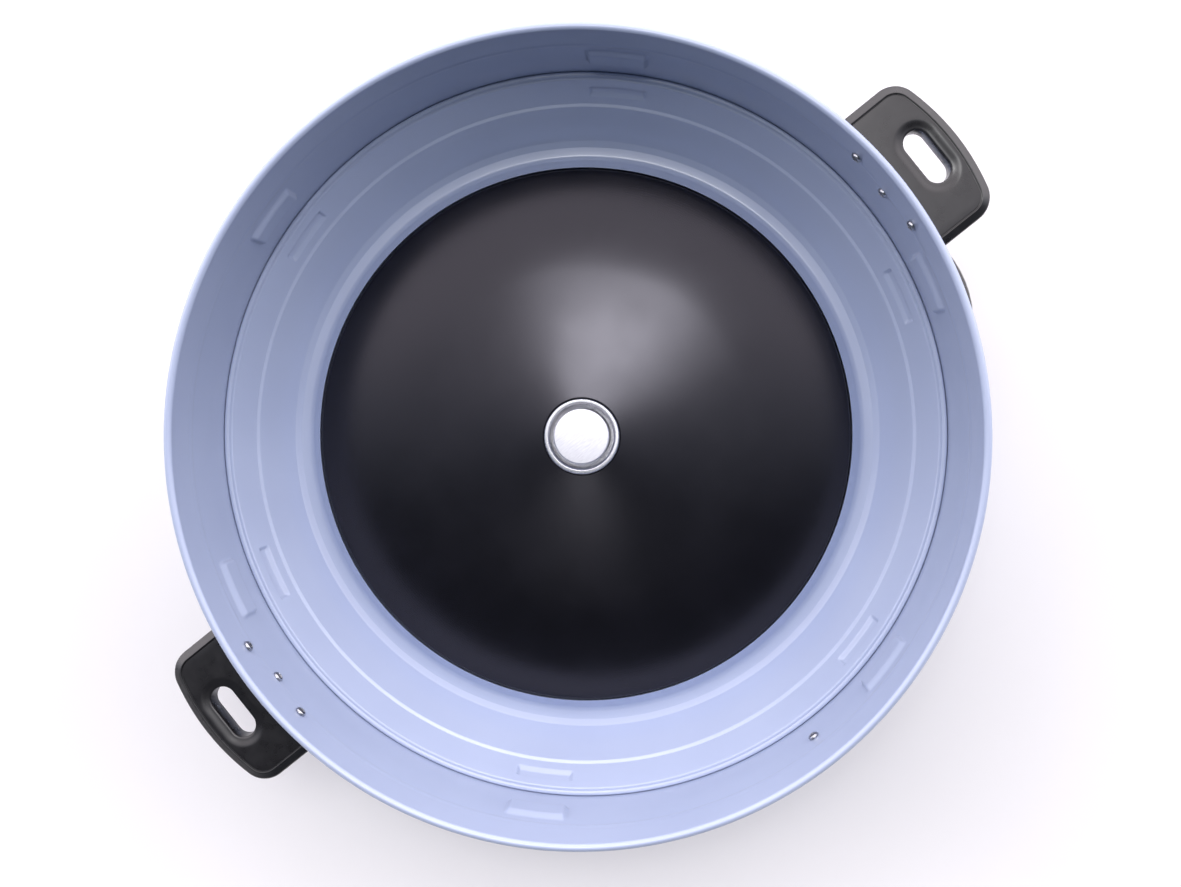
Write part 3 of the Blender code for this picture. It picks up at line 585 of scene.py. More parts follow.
def make_piece(name, grids, slot, finish=None, closed=True, drop=None, sharp=40.0):
    """Mesh object from grids of (points in mm, wraps by rows, wraps by columns).

    drop(centres) marks the faces to leave out. A closed piece has its seams merged and its
    normals turned outward; an open sheet keeps the order that its grid gives.
    """
    corners = []
    quads = []
    offset = 0
    for points, wrap_rows, wrap_columns in grids:
        quads.append(grid_faces(*points.shape[:2], wrap_rows, wrap_columns) + offset)
        corners.append(points.reshape(-1, 3))
        offset += corners[-1].shape[0]
    corners = np.vstack(corners)
    quads = np.vstack(quads)
    if drop is not None:
        quads = quads[~drop(corners[quads].mean(axis=1))]
    mesh = bpy.data.meshes.new(name)
    mesh.from_pydata((corners * MM).tolist(), [], quads.tolist())
    shape = bmesh.new()
    shape.from_mesh(mesh)
    bmesh.ops.remove_doubles(shape, verts=shape.verts, dist=1e-7)
    loose = [vert for vert in shape.verts if not vert.link_faces]
    bmesh.ops.delete(shape, geom=loose, context="VERTS")
    if closed:
        bmesh.ops.recalc_face_normals(shape, faces=shape.faces)
    shape.to_mesh(mesh)
    shape.free()
    mesh.shade_smooth()
    mesh.set_sharp_from_angle(angle=math.radians(sharp))
    mesh.materials.append(FINISHES[finish or slot])
    return linked_piece(name, mesh)


def linked_piece(name, mesh):
    """Object in the scene for a finished mesh, under a slot of the record."""
    piece = bpy.data.objects.new(name, mesh)
    bpy.context.scene.collection.objects.link(piece)
    return piece


def stand_for(piece, *nodes, body=HOUSING):
    """Let a piece ride on a body in the place of CAD nodes."""
    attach(piece, body)
    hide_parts(*nodes)


# ---------------------------------------------------------------- drum and liner
def pad_offsets(azimuths, first):
    """Angle from each azimuth to the nearest of six even pads."""
    return (azimuths - first + 0.5 * PAD_STEP) % PAD_STEP - 0.5 * PAD_STEP


def drum_azimuths(first, edge, extra=()):
    """Azimuths: close together on the ends of the pads, an edge in degrees away, else even."""
    gap_end = math.degrees(PAD_STEP) - edge - 1.8
    local = np.radians(np.concatenate((np.linspace(-edge - 0.9, -edge + 0.9, 9),
                                       np.linspace(-edge + 1.4, edge - 1.4, 7),
                                       np.linspace(edge - 0.9, edge + 0.9, 9),
                                       np.linspace(edge + 1.8, gap_end, 34))))
    turns = first + PAD_STEP * np.arange(6)[:, None] + local[None, :]
    return np.unique(np.concatenate((turns.ravel(), np.array(extra))) % (2.0 * math.pi))


def pad_ends(along, half_length, ease):
    """1 along a pad, easing to 0 over its ends: smooth step of the distance inside."""
    return smooth_step((half_length - np.abs(along)) / ease)


def pad_rise(height, top, bottom, upper_ledge, lower_ledge):
    """1 between the two ledges of a pad, easing to 0 over each ledge."""
    return smooth_step((top - height) / upper_ledge) * smooth_step((height - bottom) / lower_ledge)


def drum_surface(drum):
    """Inner skin of the drum up the wall and over the rolled rim.

    The radius is the wall's, less a fine bead (a raised cosine of the height) and less six
    pressed pads, each a flat face between an upper and a lower ledge.
    """
    radius = drum.wall_radius / MM
    half_pad = 0.5 * drum.pad_length / MM
    roll = drum.roll / MM
    centre = RIM_TOP - roll
    turn = np.radians(np.linspace(180.0, -150.0, 34))
    curl = np.column_stack((radius + roll + roll * np.cos(turn), centre + roll * np.sin(turn)))
    top = drum.pad_top / MM
    bottom = drum.pad_bottom / MM
    bead_at = RIM_TOP - drum.bead_drop / MM
    levels = np.concatenate((np.array([DRUM_FOOT, 18.0, 32.0, 46.0, 70.0, 95.0, bottom - 4.0]),
                             np.linspace(bottom, bottom + LOWER_LEDGE, 10),
                             np.linspace(bottom + LOWER_LEDGE + 1.0, top - UPPER_LEDGE - 1.0, 5),
                             np.linspace(top - UPPER_LEDGE, top, 10),
                             np.linspace(bead_at - BEAD_HALF, bead_at + BEAD_HALF, 17),
                             np.array([168.0, 176.0])))
    profile = np.vstack((np.column_stack((np.full(levels.shape, radius), levels)), curl))
    half_slot = SLOT_HALF / radius
    box = math.radians(BOX_AZIMUTH)
    azimuths = drum_azimuths(drum.pad_centre, math.degrees(half_pad / radius),
                             (box - half_slot, box + half_slot))
    points = swept(profile, azimuths)
    along = pad_offsets(azimuths, drum.pad_centre)[:, None] * radius
    height = profile[:, 1][None, :]
    pad = (pad_ends(along, half_pad, 2.2)
           * pad_rise(height, top, bottom, UPPER_LEDGE, LOWER_LEDGE))
    gap = np.minimum(np.abs(height - bead_at) / BEAD_HALF, 1.0)
    bead = drum.bead_height / MM * (0.5 + 0.5 * np.cos(math.pi * gap))
    on_wall = (np.arange(len(profile)) < len(levels))[None, :]
    inward = np.where(on_wall, drum.pad_depth / MM * pad + bead, 0.0)
    share = 1.0 - inward / profile[:, 0][None, :]
    points[..., 0] *= share
    points[..., 1] *= share
    return points


class OBJECT_OT_cooker_drum(bpy.types.Operator):
    """Build the painted drum with its rolled rim, fine bead and pressed pads"""
    bl_idname = "object.cooker_drum"
    bl_label = "Drum"

    def execute(self, context):
        drum = context.scene.cooker_drum
        points = drum_surface(drum)
        box = math.radians(BOX_AZIMUTH)

        def lever_slot(centres):
            across = centres[:, 1] * math.cos(box) - centres[:, 0] * math.sin(box)
            outward = centres[:, 0] * math.cos(box) + centres[:, 1] * math.sin(box)
            level = (centres[:, 2] > 18.0) & (centres[:, 2] < 46.0)
            return (np.abs(across) < SLOT_HALF) & (outward > 0.0) & level

        piece = make_piece("drum_shell", [(points, True, False)], "blue_enamel", closed=False,
                           drop=lever_slot, sharp=60.0)
        wall = piece.modifiers.new("sheet", "SOLIDIFY")
        wall.thickness = drum.sheet
        wall.offset = 1.0
        stand_for(piece, "outer_shell")
        return {"FINISHED"}


def liner_surface(liner, drum):
    """Closed section of the stepped liner swept round the axis, with six pads pressed outward.

    The section is the liner's upper line, rounded at its corners, and the same line moved down
    by the sheet. A pad is a recess with a sharp upper edge and a softer lower ledge.
    """
    rim = liner.rim_radius / MM
    lip = liner.lip_radius / MM
    top = liner.pad_top / MM
    bottom = liner.pad_bottom / MM
    half_pad = 0.5 * liner.pad_length / MM
    upper = rounded([(rim, 97.0, 0.0), (rim, LINER_TOP, 1.0), (207.9, LINER_TOP, 0.0),
                     (207.5, LINER_TOP - 0.4, 0.0), (205.8, LINER_TOP - 0.2, 1.2),
                     (195.5, 91.5, 0.8), (193.6, 91.0, 1.0), (178.4, 69.2, 2.6),
                     (174.8, 67.4, 1.0), (167.7, 66.4, 4.2), (lip, LIP_TOP, 0.0),
                     (lip, LIP_TOP - LIP_TURN, 0.0)])
    # the flat skirt between the first two points needs no more of them
    upper = np.vstack((upper[:1], densified(upper[1:], 0.25, bottom - 0.6, top + 0.6)))
    section = np.vstack((upper, beside(upper, liner.sheet / MM)[::-1]))
    azimuths = drum_azimuths(drum.pad_centre, math.degrees(half_pad / LINER_PAD_RADIUS))
    points = swept(section, azimuths)
    along = pad_offsets(azimuths, drum.pad_centre)[:, None] * LINER_PAD_RADIUS
    level = section[:, 1][None, :]
    pad = pad_ends(along, half_pad, 1.6) * pad_rise(level, top, bottom, 0.9, 1.5)
    steep = (section[:, 0] > 195.0) & (section[:, 0] < 207.2)
    share = 1.0 + liner.pad_depth / MM * pad * steep[None, :] / section[:, 0][None, :]
    points[..., 0] *= share
    points[..., 1] *= share
    return points


class OBJECT_OT_cooker_liner(bpy.types.Operator):
    """Build the stepped liner between the drum wall and the heating plate"""
    bl_idname = "object.cooker_liner"
    bl_label = "Liner"

    def execute(self, context):
        points = liner_surface(context.scene.cooker_liner, context.scene.cooker_drum)
        piece = make_piece("stepped_liner", [(points, True, True)], "blue_enamel", sharp=50.0)
        stand_for(piece, "liner_pan")
        return {"FINISHED"}


# ---------------------------------------------------------------- heating plate and thermostat
def plate_profile(plate):
    """Closed section of the plate: a cone to the knee, then a parabola that steepens to the edge."""
    hub = plate.hub_hole / MM
    knee = plate.knee_radius / MM
    thick = plate.thickness / MM
    rim = PLATE_RADIUS - 2.0
    cone = np.linspace(hub + 0.5, knee, 20)
    fall = np.linspace(knee, rim, 28)[1:]
    knee_drop = plate.knee_drop / MM
    share = (fall - knee) / (rim - knee)
    start = knee_drop / (knee - hub) * (rim - knee)
    rest = plate.edge_drop / MM - knee_drop
    cone_height = PLATE_APEX - knee_drop * (cone - hub) / (knee - hub)
    fall_height = PLATE_APEX - knee_drop - start * share - (rest - start) * share ** 2
    edge = PLATE_APEX - plate.edge_drop / MM
    turn = np.radians(np.linspace(60.0, 0.0, 6))
    rounding = np.column_stack((PLATE_RADIUS - 1.8 + 1.8 * np.cos(turn),
                                edge - 1.9 + 1.8 * np.sin(turn)))
    under = np.array([(PLATE_RADIUS, PLATE_FOOT + 1.0), (PLATE_RADIUS - 1.0, PLATE_FOOT),
                      (150.0, PLATE_FOOT), (knee, PLATE_APEX - knee_drop - thick), (32.0, 81.0),
                      (28.0, 78.0), (hub, 78.0), (hub, PLATE_APEX - 0.5)])
    return np.vstack((np.column_stack((cone, cone_height)),
                      np.column_stack((fall, fall_height)), rounding, under))


class OBJECT_OT_cooker_plate(bpy.types.Operator):
    """Build the domed cast heating plate"""
    bl_idname = "object.cooker_plate"
    bl_label = "Heating Plate"

    def execute(self, context):
        profile = plate_profile(context.scene.cooker_plate)
        points = swept(profile, even_turn(300))
        piece = make_piece("domed_plate", [(points, True, True)], "black_cast", sharp=30.0)
        stand_for(piece, "heating_plate")
        return {"FINISHED"}


class OBJECT_OT_cooker_sensor(bpy.types.Operator):
    """Build the bright ring and the sprung cap of the thermostat"""
    bl_idname = "object.cooker_sensor"
    bl_label = "Thermostat Face"

    def execute(self, context):
        sensor = context.scene.cooker_sensor
        bore = sensor.ring_inner / MM
        ring_foot = node_span("sensor_ring", 2)[0]
        ring = rounded([(bore, ring_foot, 0.0), (bore, RING_TOP - 0.9, 0.5),
                        (bore + 1.1, RING_TOP, 0.6), (RING_OUTER - 0.7, RING_TOP, 0.5),
                        (RING_OUTER, RING_TOP - 0.8, 0.4), (RING_OUTER, ring_foot, 0.0)])
        piece = make_piece("bright_ring", [(swept(ring, even_turn(160)), True, True)],
                           "bright_steel", finish="turned_steel", sharp=30.0)
        stand_for(piece, "sensor_ring")

        cap = sensor.cap_radius / MM
        crown = sensor.cap_crown / MM
        face = np.linspace(0.0, cap - 1.2, 24)
        top = np.column_stack((face, CAP_TOP - crown * (face / cap) ** 2))
        turn = np.radians(np.linspace(85.0, 0.0, 8))
        edge = np.column_stack((cap - 1.0 + np.cos(turn), top[-1, 1] - 1.0 + np.sin(turn)))
        flange_low = node_span("sensor_cap", 2)[0]
        inside = cap - 1.0
        rest = np.array([(cap, flange_low + 1.2), (19.6, flange_low + 1.2), (19.6, flange_low),
                         (inside, flange_low), (inside, CAP_TOP - 1.4), (0.0, CAP_TOP - 1.4)])
        section = np.vstack((top, edge, rest))
        piece = make_piece("sensor_cap_face", [(swept(section, even_turn(128)), True, False)],
                           "aluminium", sharp=35.0)
        stand_for(piece, "sensor_cap", body="sensor")
        return {"FINISHED"}


# ---------------------------------------------------------------- grips and screws
def grip_outline(grip, inset, drum_clear):
    """Plan outline of a grip moved inward by an inset, as one closed line.

    Sides are straight, the inner edge follows the drum and the outer edge is a parabola that
    leaves the two corner arcs without a kink.
    """
    half = GRIP_HALF - inset
    corner = grip.corner / MM - inset
    bow = grip.bow / MM
    inner = half - corner
    lean = 0.0
    for _ in range(6):
        lean = math.atan2(2.0 * bow, inner + grip.corner / MM * math.sin(lean))
    shoulder = GRIP_REACH - bow - grip.corner / MM * math.cos(lean)
    start = math.sqrt(drum_clear ** 2 - half ** 2)
    side = np.linspace(start, shoulder, 13)[:-1]
    turn = np.linspace(0.0, 0.5 * math.pi - lean, 13)
    wide = inner + corner * math.sin(lean)
    end = shoulder + corner * math.cos(lean)
    share = np.linspace(-1.0, 1.0, 27)[1:-1]
    across = np.linspace(half, -half, 25)[1:-1]
    lower = np.column_stack((side, np.full(side.shape, -half)))
    lower_corner = np.column_stack((shoulder + corner * np.sin(turn),
                                    -inner - corner * np.cos(turn)))
    front = np.column_stack((end + 0.5 * wide * math.tan(lean) * (1.0 - share ** 2),
                             wide * share))
    upper_corner = lower_corner[::-1] * (1.0, -1.0)
    upper = lower[::-1] * (1.0, -1.0)
    back = np.column_stack((np.sqrt(drum_clear ** 2 - across ** 2), across))
    return np.vstack((lower, lower_corner, front, upper_corner, upper, back))


def slot_outline(grip, away, toward):
    """Stadium round the slot's axis, grown by a distance, met by rays towards given points."""
    radius = 0.5 * grip.slot_width / MM + away
    straight = 0.5 * (grip.slot_length - grip.slot_width) / MM
    centre = np.array((grip.slot_centre / MM, 0.0))
    ray = toward - centre
    ray /= np.linalg.norm(ray, axis=1)[:, None]
    flat = radius / np.maximum(np.abs(ray[:, 0]), 1e-9)
    on_flat = np.abs(ray[:, 1]) * flat <= straight
    aside = straight * np.abs(ray[:, 1])
    round_end = aside + np.sqrt(np.maximum(aside ** 2 - straight ** 2 + radius ** 2, 0.0))
    reach = np.where(on_flat, flat, round_end)
    return centre + ray * reach[:, None]


def grip_surface(grip, drum_clear):
    """Grip as one closed band round the slot.

    Rings follow the outline at growing insets (side, border, fine groove, field), then blend
    to the slot's stadium over a dished surround, go down the slot and return underneath.
    """
    low = GRIP_TOP - grip.thickness / MM
    border = grip.border / MM
    rings = []
    sides = [(1.6, low), (0.6, low + 0.5), (0.1, low + 1.4), (0.0, low + 2.4),
             (0.0, GRIP_TOP - 3.4), (0.1, GRIP_TOP - 2.8), (0.45, GRIP_TOP - 2.3),
             (1.0, GRIP_TOP - 1.9), (border - 0.9, GRIP_TOP - 0.55),
             (border - 0.45, GRIP_TOP - 0.2), (border, GRIP_TOP), (border + 0.4, GRIP_TOP - 0.1),
             (border + 0.65, GRIP_TOP - 0.5), (border + 0.95, GRIP_TOP - 0.55),
             (border + 1.2, GRIP_TOP - 0.25), (border + 1.7, GRIP_TOP - 0.2)]
    for inset, height in sides:
        outline = grip_outline(grip, inset, drum_clear)
        rings.append(np.column_stack((outline, np.full(len(outline), height))))
    field = rings[-1][:, :2]
    near = slot_outline(grip, DISH_REACH, field)
    dish = grip.dish / MM
    floor = GRIP_TOP - 0.2
    for share in np.linspace(0.2, 1.0, 5):
        plan = field + share * (near - field)
        rings.append(np.column_stack((plan, np.full(len(plan), floor))))
    for away in np.linspace(DISH_REACH - 0.5, 1.0, 10):
        plan = slot_outline(grip, away, field)
        sink = dish * smooth_step((DISH_REACH - away) / (DISH_REACH - 0.4))
        rings.append(np.column_stack((plan, np.full(len(plan), floor - sink))))
    wall = [(0.6, floor - dish - 0.08), (0.25, floor - dish - 0.3),
            (0.0, floor - dish - 0.8), (0.0, low + 1.0), (0.3, low + 0.4), (1.0, low)]
    for away, height in wall:
        plan = slot_outline(grip, away, field)
        rings.append(np.column_stack((plan, np.full(len(plan), height))))
    return np.stack(rings, axis=1)


def grip_root(drum_clear):
    """Block below the grip that is bolted to the drum: outlines stacked with rounded edges."""
    rings = []
    levels = [(40.0, GRIP_LOW), (2.6, GRIP_LOW), (0.9, GRIP_LOW + 0.9), (0.0, GRIP_LOW + 2.6),
              (0.0, GRIP_TOP - 6.0), (40.0, GRIP_TOP - 6.0)]
    half = GRIP_HALF - 0.5
    across = np.linspace(-1.0, 1.0, 41)
    for inset, height in levels:
        reach = 221.0 - min(inset, 5.0)
        wide = max(half - inset, 0.5)
        bulge = reach - 3.2 * np.abs(across) ** 12
        outer = np.column_stack((bulge, wide * across))
        inner = np.column_stack((np.sqrt(drum_clear ** 2 - (wide * across) ** 2), wide * across))
        loop = np.vstack((outer, inner[::-1]))
        rings.append(np.column_stack((loop, np.full(len(loop), height))))
    return np.stack(rings, axis=1)


class OBJECT_OT_cooker_grips(bpy.types.Operator):
    """Build the two moulded grips with their slots"""
    bl_idname = "object.cooker_grips"
    bl_label = "Grips"

    def execute(self, context):
        grip = context.scene.cooker_grip
        drum_clear = (context.scene.cooker_drum.wall_radius
                      + context.scene.cooker_drum.sheet) / MM + 0.4
        band = grip_surface(grip, drum_clear)
        root = grip_root(drum_clear)
        for name, node, side in (("grip_right", "handle_right", 0.0),
                                 ("grip_left", "handle_left", math.pi)):
            place = turned_by(side)
            grids = [(placed(band, place), True, True), (placed(root, place), True, False)]
            piece = make_piece(name, grids, "bakelite", sharp=35.0)
            stand_for(piece, node)
        return {"FINISHED"}


def cross_head(radius, height, shank, length):
    """Pan head with a cross recess, its seat at z = 0 and its shank going down.

    The head's height is a dome h (1 - (r/R)^4)^(1/2), less a recess whose plan is two crossed
    bars and whose depth fades towards their ends.
    """
    azimuths = even_turn(64)
    ratio = np.concatenate((np.linspace(0.0, 0.62, 14), np.linspace(0.66, 1.0, 12)))
    radii = radius * ratio
    dome = height * (0.12 + 0.88 * np.sqrt(np.maximum(1.0 - ratio ** 4, 0.0)))
    x = np.outer(np.cos(azimuths), radii)
    y = np.outer(np.sin(azimuths), radii)
    bar = 0.14 * radius
    arms = np.minimum(np.abs(x), np.abs(y))
    reach = np.hypot(x, y) / (0.6 * radius)
    recess = smooth_step((bar - arms) / (0.5 * bar) + 0.5) * smooth_step((1.0 - reach) / 0.25)
    top = np.broadcast_to(dome, x.shape) - 0.75 * height * recess
    head = np.stack((x, y, top), axis=-1)
    under = swept(np.array([(radius, 0.0), (shank, 0.0), (shank, -length), (0.0, -length)]),
                  azimuths)
    return np.concatenate((head, under), axis=1)


class OBJECT_OT_cooker_screws(bpy.types.Operator):
    """Build the cross-recess screws of the grips, the front plate, the bottom and the feet"""
    bl_idname = "object.cooker_screws"
    bl_label = "Screws"

    def execute(self, context):
        spread = context.scene.cooker_grip.screw_spread
        seat = context.scene.cooker_drum.wall_radius / MM - 0.55
        outer_seat = seat + 0.55 + context.scene.cooker_drum.sheet / MM + 0.3
        head = cross_head(3.1, 1.7, 1.6, 2.5)
        screws = []
        for side, name in ((0.0, "handle_right"), (math.pi, "handle_left")):
            for number, turn in ((1, -spread), (2, 0.0), (3, spread)):
                screws.append((f"{name}_screw_{number}", side + turn, "in", seat))
        screws.append(("front_screw", math.radians(-90.0), "in", seat))
        for number in range(1, 5):
            azimuth = math.radians(10.0 + 90.0 * (number - 1))
            screws.append((f"base_screw_{number}", azimuth, "out", outer_seat))
        for order, (node, azimuth, lie, radius) in enumerate(screws):
            low, high = node_span(node, 2)
            place = turned_by(azimuth, 0.5 * (low + high), radius, lie)
            place = place @ Matrix.Rotation(0.7 * order, 4, "Z")
            piece = make_piece(f"{node}_head", [(placed(head, place), True, False)],
                               "bright_steel", sharp=35.0)
            stand_for(piece, node)
        foot_head = cross_head(3.8, 2.2, 1.9, 12.0)
        for number in range(1, 5):
            low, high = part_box(f"foot_screw_{number}")
            centre = (low + high) * 0.5 / MM
            place = Matrix.Translation((centre[0], centre[1], 5.7))
            place = place @ Matrix.Rotation(math.pi, 4, "X") @ Matrix.Rotation(number, 4, "Z")
            piece = make_piece(f"foot_screw_{number}_head",
                               [(placed(foot_head, place), True, False)], "bright_steel",
                               sharp=35.0)
            stand_for(piece, f"foot_screw_{number}")
        return {"FINISHED"}


# ---------------------------------------------------------------- control box, trim and bottom
def merged_copy(name, node, slot, bevel):
    """Smooth-shaded copy of a CAD node: its triangles merged, flat areas joined, edges eased."""
    mesh = frame["nodes"][node].data.copy()
    mesh.name = name
    shape = bmesh.new()
    shape.from_mesh(mesh)
    bmesh.ops.remove_doubles(shape, verts=shape.verts, dist=1e-6)
    bmesh.ops.dissolve_limit(shape, angle_limit=math.radians(1.0), verts=shape.verts,
                             edges=shape.edges)
    bmesh.ops.recalc_face_normals(shape, faces=shape.faces)
    shape.to_mesh(mesh)
    shape.free()
    mesh.materials.clear()
    mesh.materials.append(FINISHES[slot])
    mesh.shade_smooth()
    mesh.set_sharp_from_angle(angle=math.radians(32.0))
    piece = linked_piece(name, mesh)
    ease = piece.modifiers.new("eased_edges", "BEVEL")
    ease.width = bevel * MM
    ease.segments = 2
    ease.limit_method = "ANGLE"
    ease.angle_limit = math.radians(40.0)
    ease.harden_normals = True
    return piece


def pillow(half_x, half_y, half_z, power, ribs):
    """Rounded block with ribs on its +X face: |x/a|^n + |y/b|^n + |z/c|^n = 1 on angles."""
    azimuths = even_turn(96)
    rise = np.linspace(-0.5 * math.pi, 0.5 * math.pi, 49)

    def bent(value):
        return np.sign(value) * np.abs(value) ** (2.0 / power)

    x = half_x * np.outer(bent(np.cos(azimuths)), bent(np.cos(rise)))
    y = half_y * np.outer(bent(np.sin(azimuths)), bent(np.cos(rise)))
    z = half_z * np.broadcast_to(bent(np.sin(rise)), x.shape)
    face = smooth_step((x / half_x - 0.9) / 0.08) * smooth_step((0.8 - np.abs(y) / half_y) / 0.1)
    x = x - 0.35 * face * (0.5 + 0.5 * np.cos(math.pi * ribs * z / half_z))
    return np.stack((x, y, z), axis=-1)


class OBJECT_OT_cooker_control_box(bpy.types.Operator):
    """Build the control box, its key and its two lamp lenses"""
    bl_idname = "object.cooker_control_box"
    bl_label = "Control Box"

    def execute(self, context):
        box = merged_copy("control_box_shell", "control_box", "bakelite", 0.4)
        stand_for(box, "control_box")
        azimuth = math.radians(BOX_AZIMUTH)
        outward = np.array((math.cos(azimuth), math.sin(azimuth)))
        low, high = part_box("cook_key")
        radius = float(np.array((low + high) * 0.5 / MM)[:2] @ outward)
        level = 0.5 * (low[2] + high[2]) / MM
        key = placed(pillow(4.5, 14.0, 6.0, 9.0, ribs=5), turned_by(azimuth, level, radius))
        piece = make_piece("cook_key_cap", [(key, True, False)], "bakelite", sharp=50.0)
        stand_for(piece, "cook_key", body="lever")
        lens = np.vstack((rounded([(0.0, 0.25, 0.0), (2.9, 0.2, 0.3), (3.5, -0.4, 0.2),
                                   (3.5, -6.5, 0.0)]), [(0.0, -6.5)]))
        lens = swept(lens, even_turn(48))
        for node, slot in (("lamp_cook", "red_lens"), ("lamp_warm", "amber_lens")):
            corner_low, corner_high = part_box(node)
            centre = np.array((corner_low + corner_high) * 0.5 / MM)
            along = float(centre[:2] @ outward)
            across = float(centre[1] * outward[0] - centre[0] * outward[1])
            place = turned_by(azimuth, centre[2]) @ Matrix.Translation((along + 3.2, across, 0.0))
            place = place @ Matrix.Rotation(math.radians(90.0), 4, "Y")
            piece = make_piece(f"{node}_lens", [(placed(lens, place), True, False)], slot,
                               sharp=35.0)
            stand_for(piece, node)
        return {"FINISHED"}


def wrapped_plate(radius, thick, half_length, half_height, level, azimuth):
    """Plate bent round the drum: rounded-rectangle rings at growing insets, raised at the border.

    Each ring is a rounded rectangle of (arc length, height), carried to the cylinder.
    """
    turn = np.radians(np.linspace(0.0, 90.0, 9))
    rings = []
    steps = [(half_height - 0.05, 0.0), (1.0, 0.0), (0.0, 0.0), (0.0, thick - 0.3),
             (0.25, thick), (1.3, thick), (1.7, thick - 0.35), (2.4, thick - 0.4),
             (6.0, thick - 0.4), (half_height - 0.05, thick - 0.4)]
    for inset, proud in steps:
        corner = max(3.0 - inset, 0.05)
        side = half_length - inset - corner
        rise = max(half_height - inset - corner, 0.0)
        quarter = np.column_stack((side + corner * np.cos(turn), rise + corner * np.sin(turn)))
        along = np.linspace(side, -side, 34)[1:-1]
        edge = np.column_stack((along, np.full(along.shape, rise + corner)))
        loop = np.vstack((quarter, edge, quarter[::-1] * (-1.0, 1.0), quarter * (-1.0, -1.0),
                          edge * (-1.0, -1.0), quarter[::-1] * (1.0, -1.0)))
        angle = azimuth + loop[:, 0] / radius
        rings.append(np.column_stack(((radius + proud) * np.cos(angle),
                                      (radius + proud) * np.sin(angle), level + loop[:, 1])))
    return np.stack(rings, axis=1)


class OBJECT_OT_cooker_trim(bpy.types.Operator):
    """Build the blank front plate and the bushing for the cord"""
    bl_idname = "object.cooker_trim"
    bl_label = "Front Plate and Bushing"

    def execute(self, context):
        low, high = node_span("front_plate", 2)
        half_length = 0.5 * (node_span("front_plate", 0)[1] - node_span("front_plate", 0)[0])
        points = wrapped_plate(212.1, 1.5, half_length, 0.5 * (high - low), 0.5 * (low + high),
                               math.radians(-90.0))
        piece = make_piece("blank_front_plate", [(points, True, False)], "aluminium", sharp=35.0)
        stand_for(piece, "front_plate")

        level = 0.5 * sum(node_span("cord_gland", 2))
        bushing = rounded([(4.0, 206.0, 0.0), (7.5, 206.0, 0.6), (7.5, 212.2, 0.0),
                           (11.0, 212.2, 0.3), (11.0, 213.6, 0.6), (8.6, 213.8, 0.2),
                           (8.4, 213.2, 0.2), (6.9, 213.2, 0.2), (6.6, 214.8, 0.4),
                           (4.6, 214.8, 0.4), (4.0, 214.0, 0.2), (4.0, 206.0, 0.0)], steps=4)
        place = turned_by(math.radians(90.0), level, 0.0, "out")
        points = placed(swept(bushing[:-1], even_turn(64)), place)
        piece = make_piece("cord_bushing", [(points, True, True)], "rubber", sharp=35.0)
        stand_for(piece, "cord_gland")
        return {"FINISHED"}


class OBJECT_OT_cooker_bottom(bpy.types.Operator):
    """Build the pressed bottom pan and the rubber feet"""
    bl_idname = "object.cooker_bottom"
    bl_label = "Bottom and Feet"

    def execute(self, context):
        pan_low, pan_rim = node_span("base_pan", 2)
        pan_radius = node_span("base_pan", 0)[1]
        line = np.linspace(0.0, pan_radius - 4.0, 200)
        ribs = sum(smooth_step(1.0 - np.abs(line - radius) / half_width)
                   for radius, half_width in ((60.0, 5.0), (105.0, 5.0), (142.0, 4.0)))
        under = np.column_stack((line, pan_low + 0.8 * ribs))
        turn = np.radians(np.linspace(-88.0, 0.0, 8))
        bend = np.column_stack((pan_radius - 3.0 + 3.0 * np.cos(turn),
                                pan_low + 3.0 + 3.0 * np.sin(turn)))
        lower = np.vstack((under, bend, [(pan_radius, pan_rim)]))
        section = np.vstack((lower, beside(lower, 1.0)[::-1]))
        section[:, 0] = np.maximum(section[:, 0], 0.0)
        piece = make_piece("bottom_pan", [(swept(section, even_turn(240)), True, False)],
                           "zinc_sheet", sharp=40.0)
        stand_for(piece, "base_pan")

        foot_top = node_span("foot_1", 2)[1]
        foot = rounded([(4.6, 6.0, 0.0), (4.6, 0.0, 0.5), (11.2, 0.0, 0.9), (12.0, 3.4, 0.5),
                        (11.6, 3.9, 0.2), (12.3, 4.6, 0.4), (12.9, 9.6, 0.5), (12.9, foot_top, 0.8),
                        (2.3, foot_top, 0.0), (2.3, 6.0, 0.0)], steps=5)
        grid = swept(foot, even_turn(72))
        for number in range(1, 5):
            low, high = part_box(f"foot_{number}")
            centre = (low + high) * 0.5 / MM
            points = grid + np.array((centre[0], centre[1], 0.0))
            piece = make_piece(f"rubber_foot_{number}", [(points, True, True)], "rubber",
                               sharp=35.0)
            stand_for(piece, f"foot_{number}")
        return {"FINISHED"}


class OBJECT_OT_cooker_mechanism(bpy.types.Operator):
    """Give the pieces of the mechanism, which keep their CAD shape, their real finishes"""
    bl_idname = "object.cooker_mechanism"
    bl_label = "Mechanism Finishes"

    def execute(self, context):
        slots = {entry["node"]: entry["material_slot"] for entry in frame["record"]["subparts"]}
        for name, node in frame["nodes"].items():
            if node.hide_render:
                continue
            node.data.materials.clear()
            node.data.materials.append(FINISHES[slots[name]])
        return {"FINISHED"}


# ---------------------------------------------------------------- stage
def pale_floor_paint():
    """Matt white studio floor with the faintest mottling."""
    material, tree, shader = start_finish("matt_studio_floor")
    cloud = noise(tree, object_place(tree), 400.0)
    tree.links.new(mixed_colour(tree, ranged(tree, cloud, 0.0, 1.0), linear("#F4F3F2"),
                                linear("#EFEEED")), shader.inputs["Base Color"])
    shader.inputs["Roughness"].default_value = 0.7
    return material


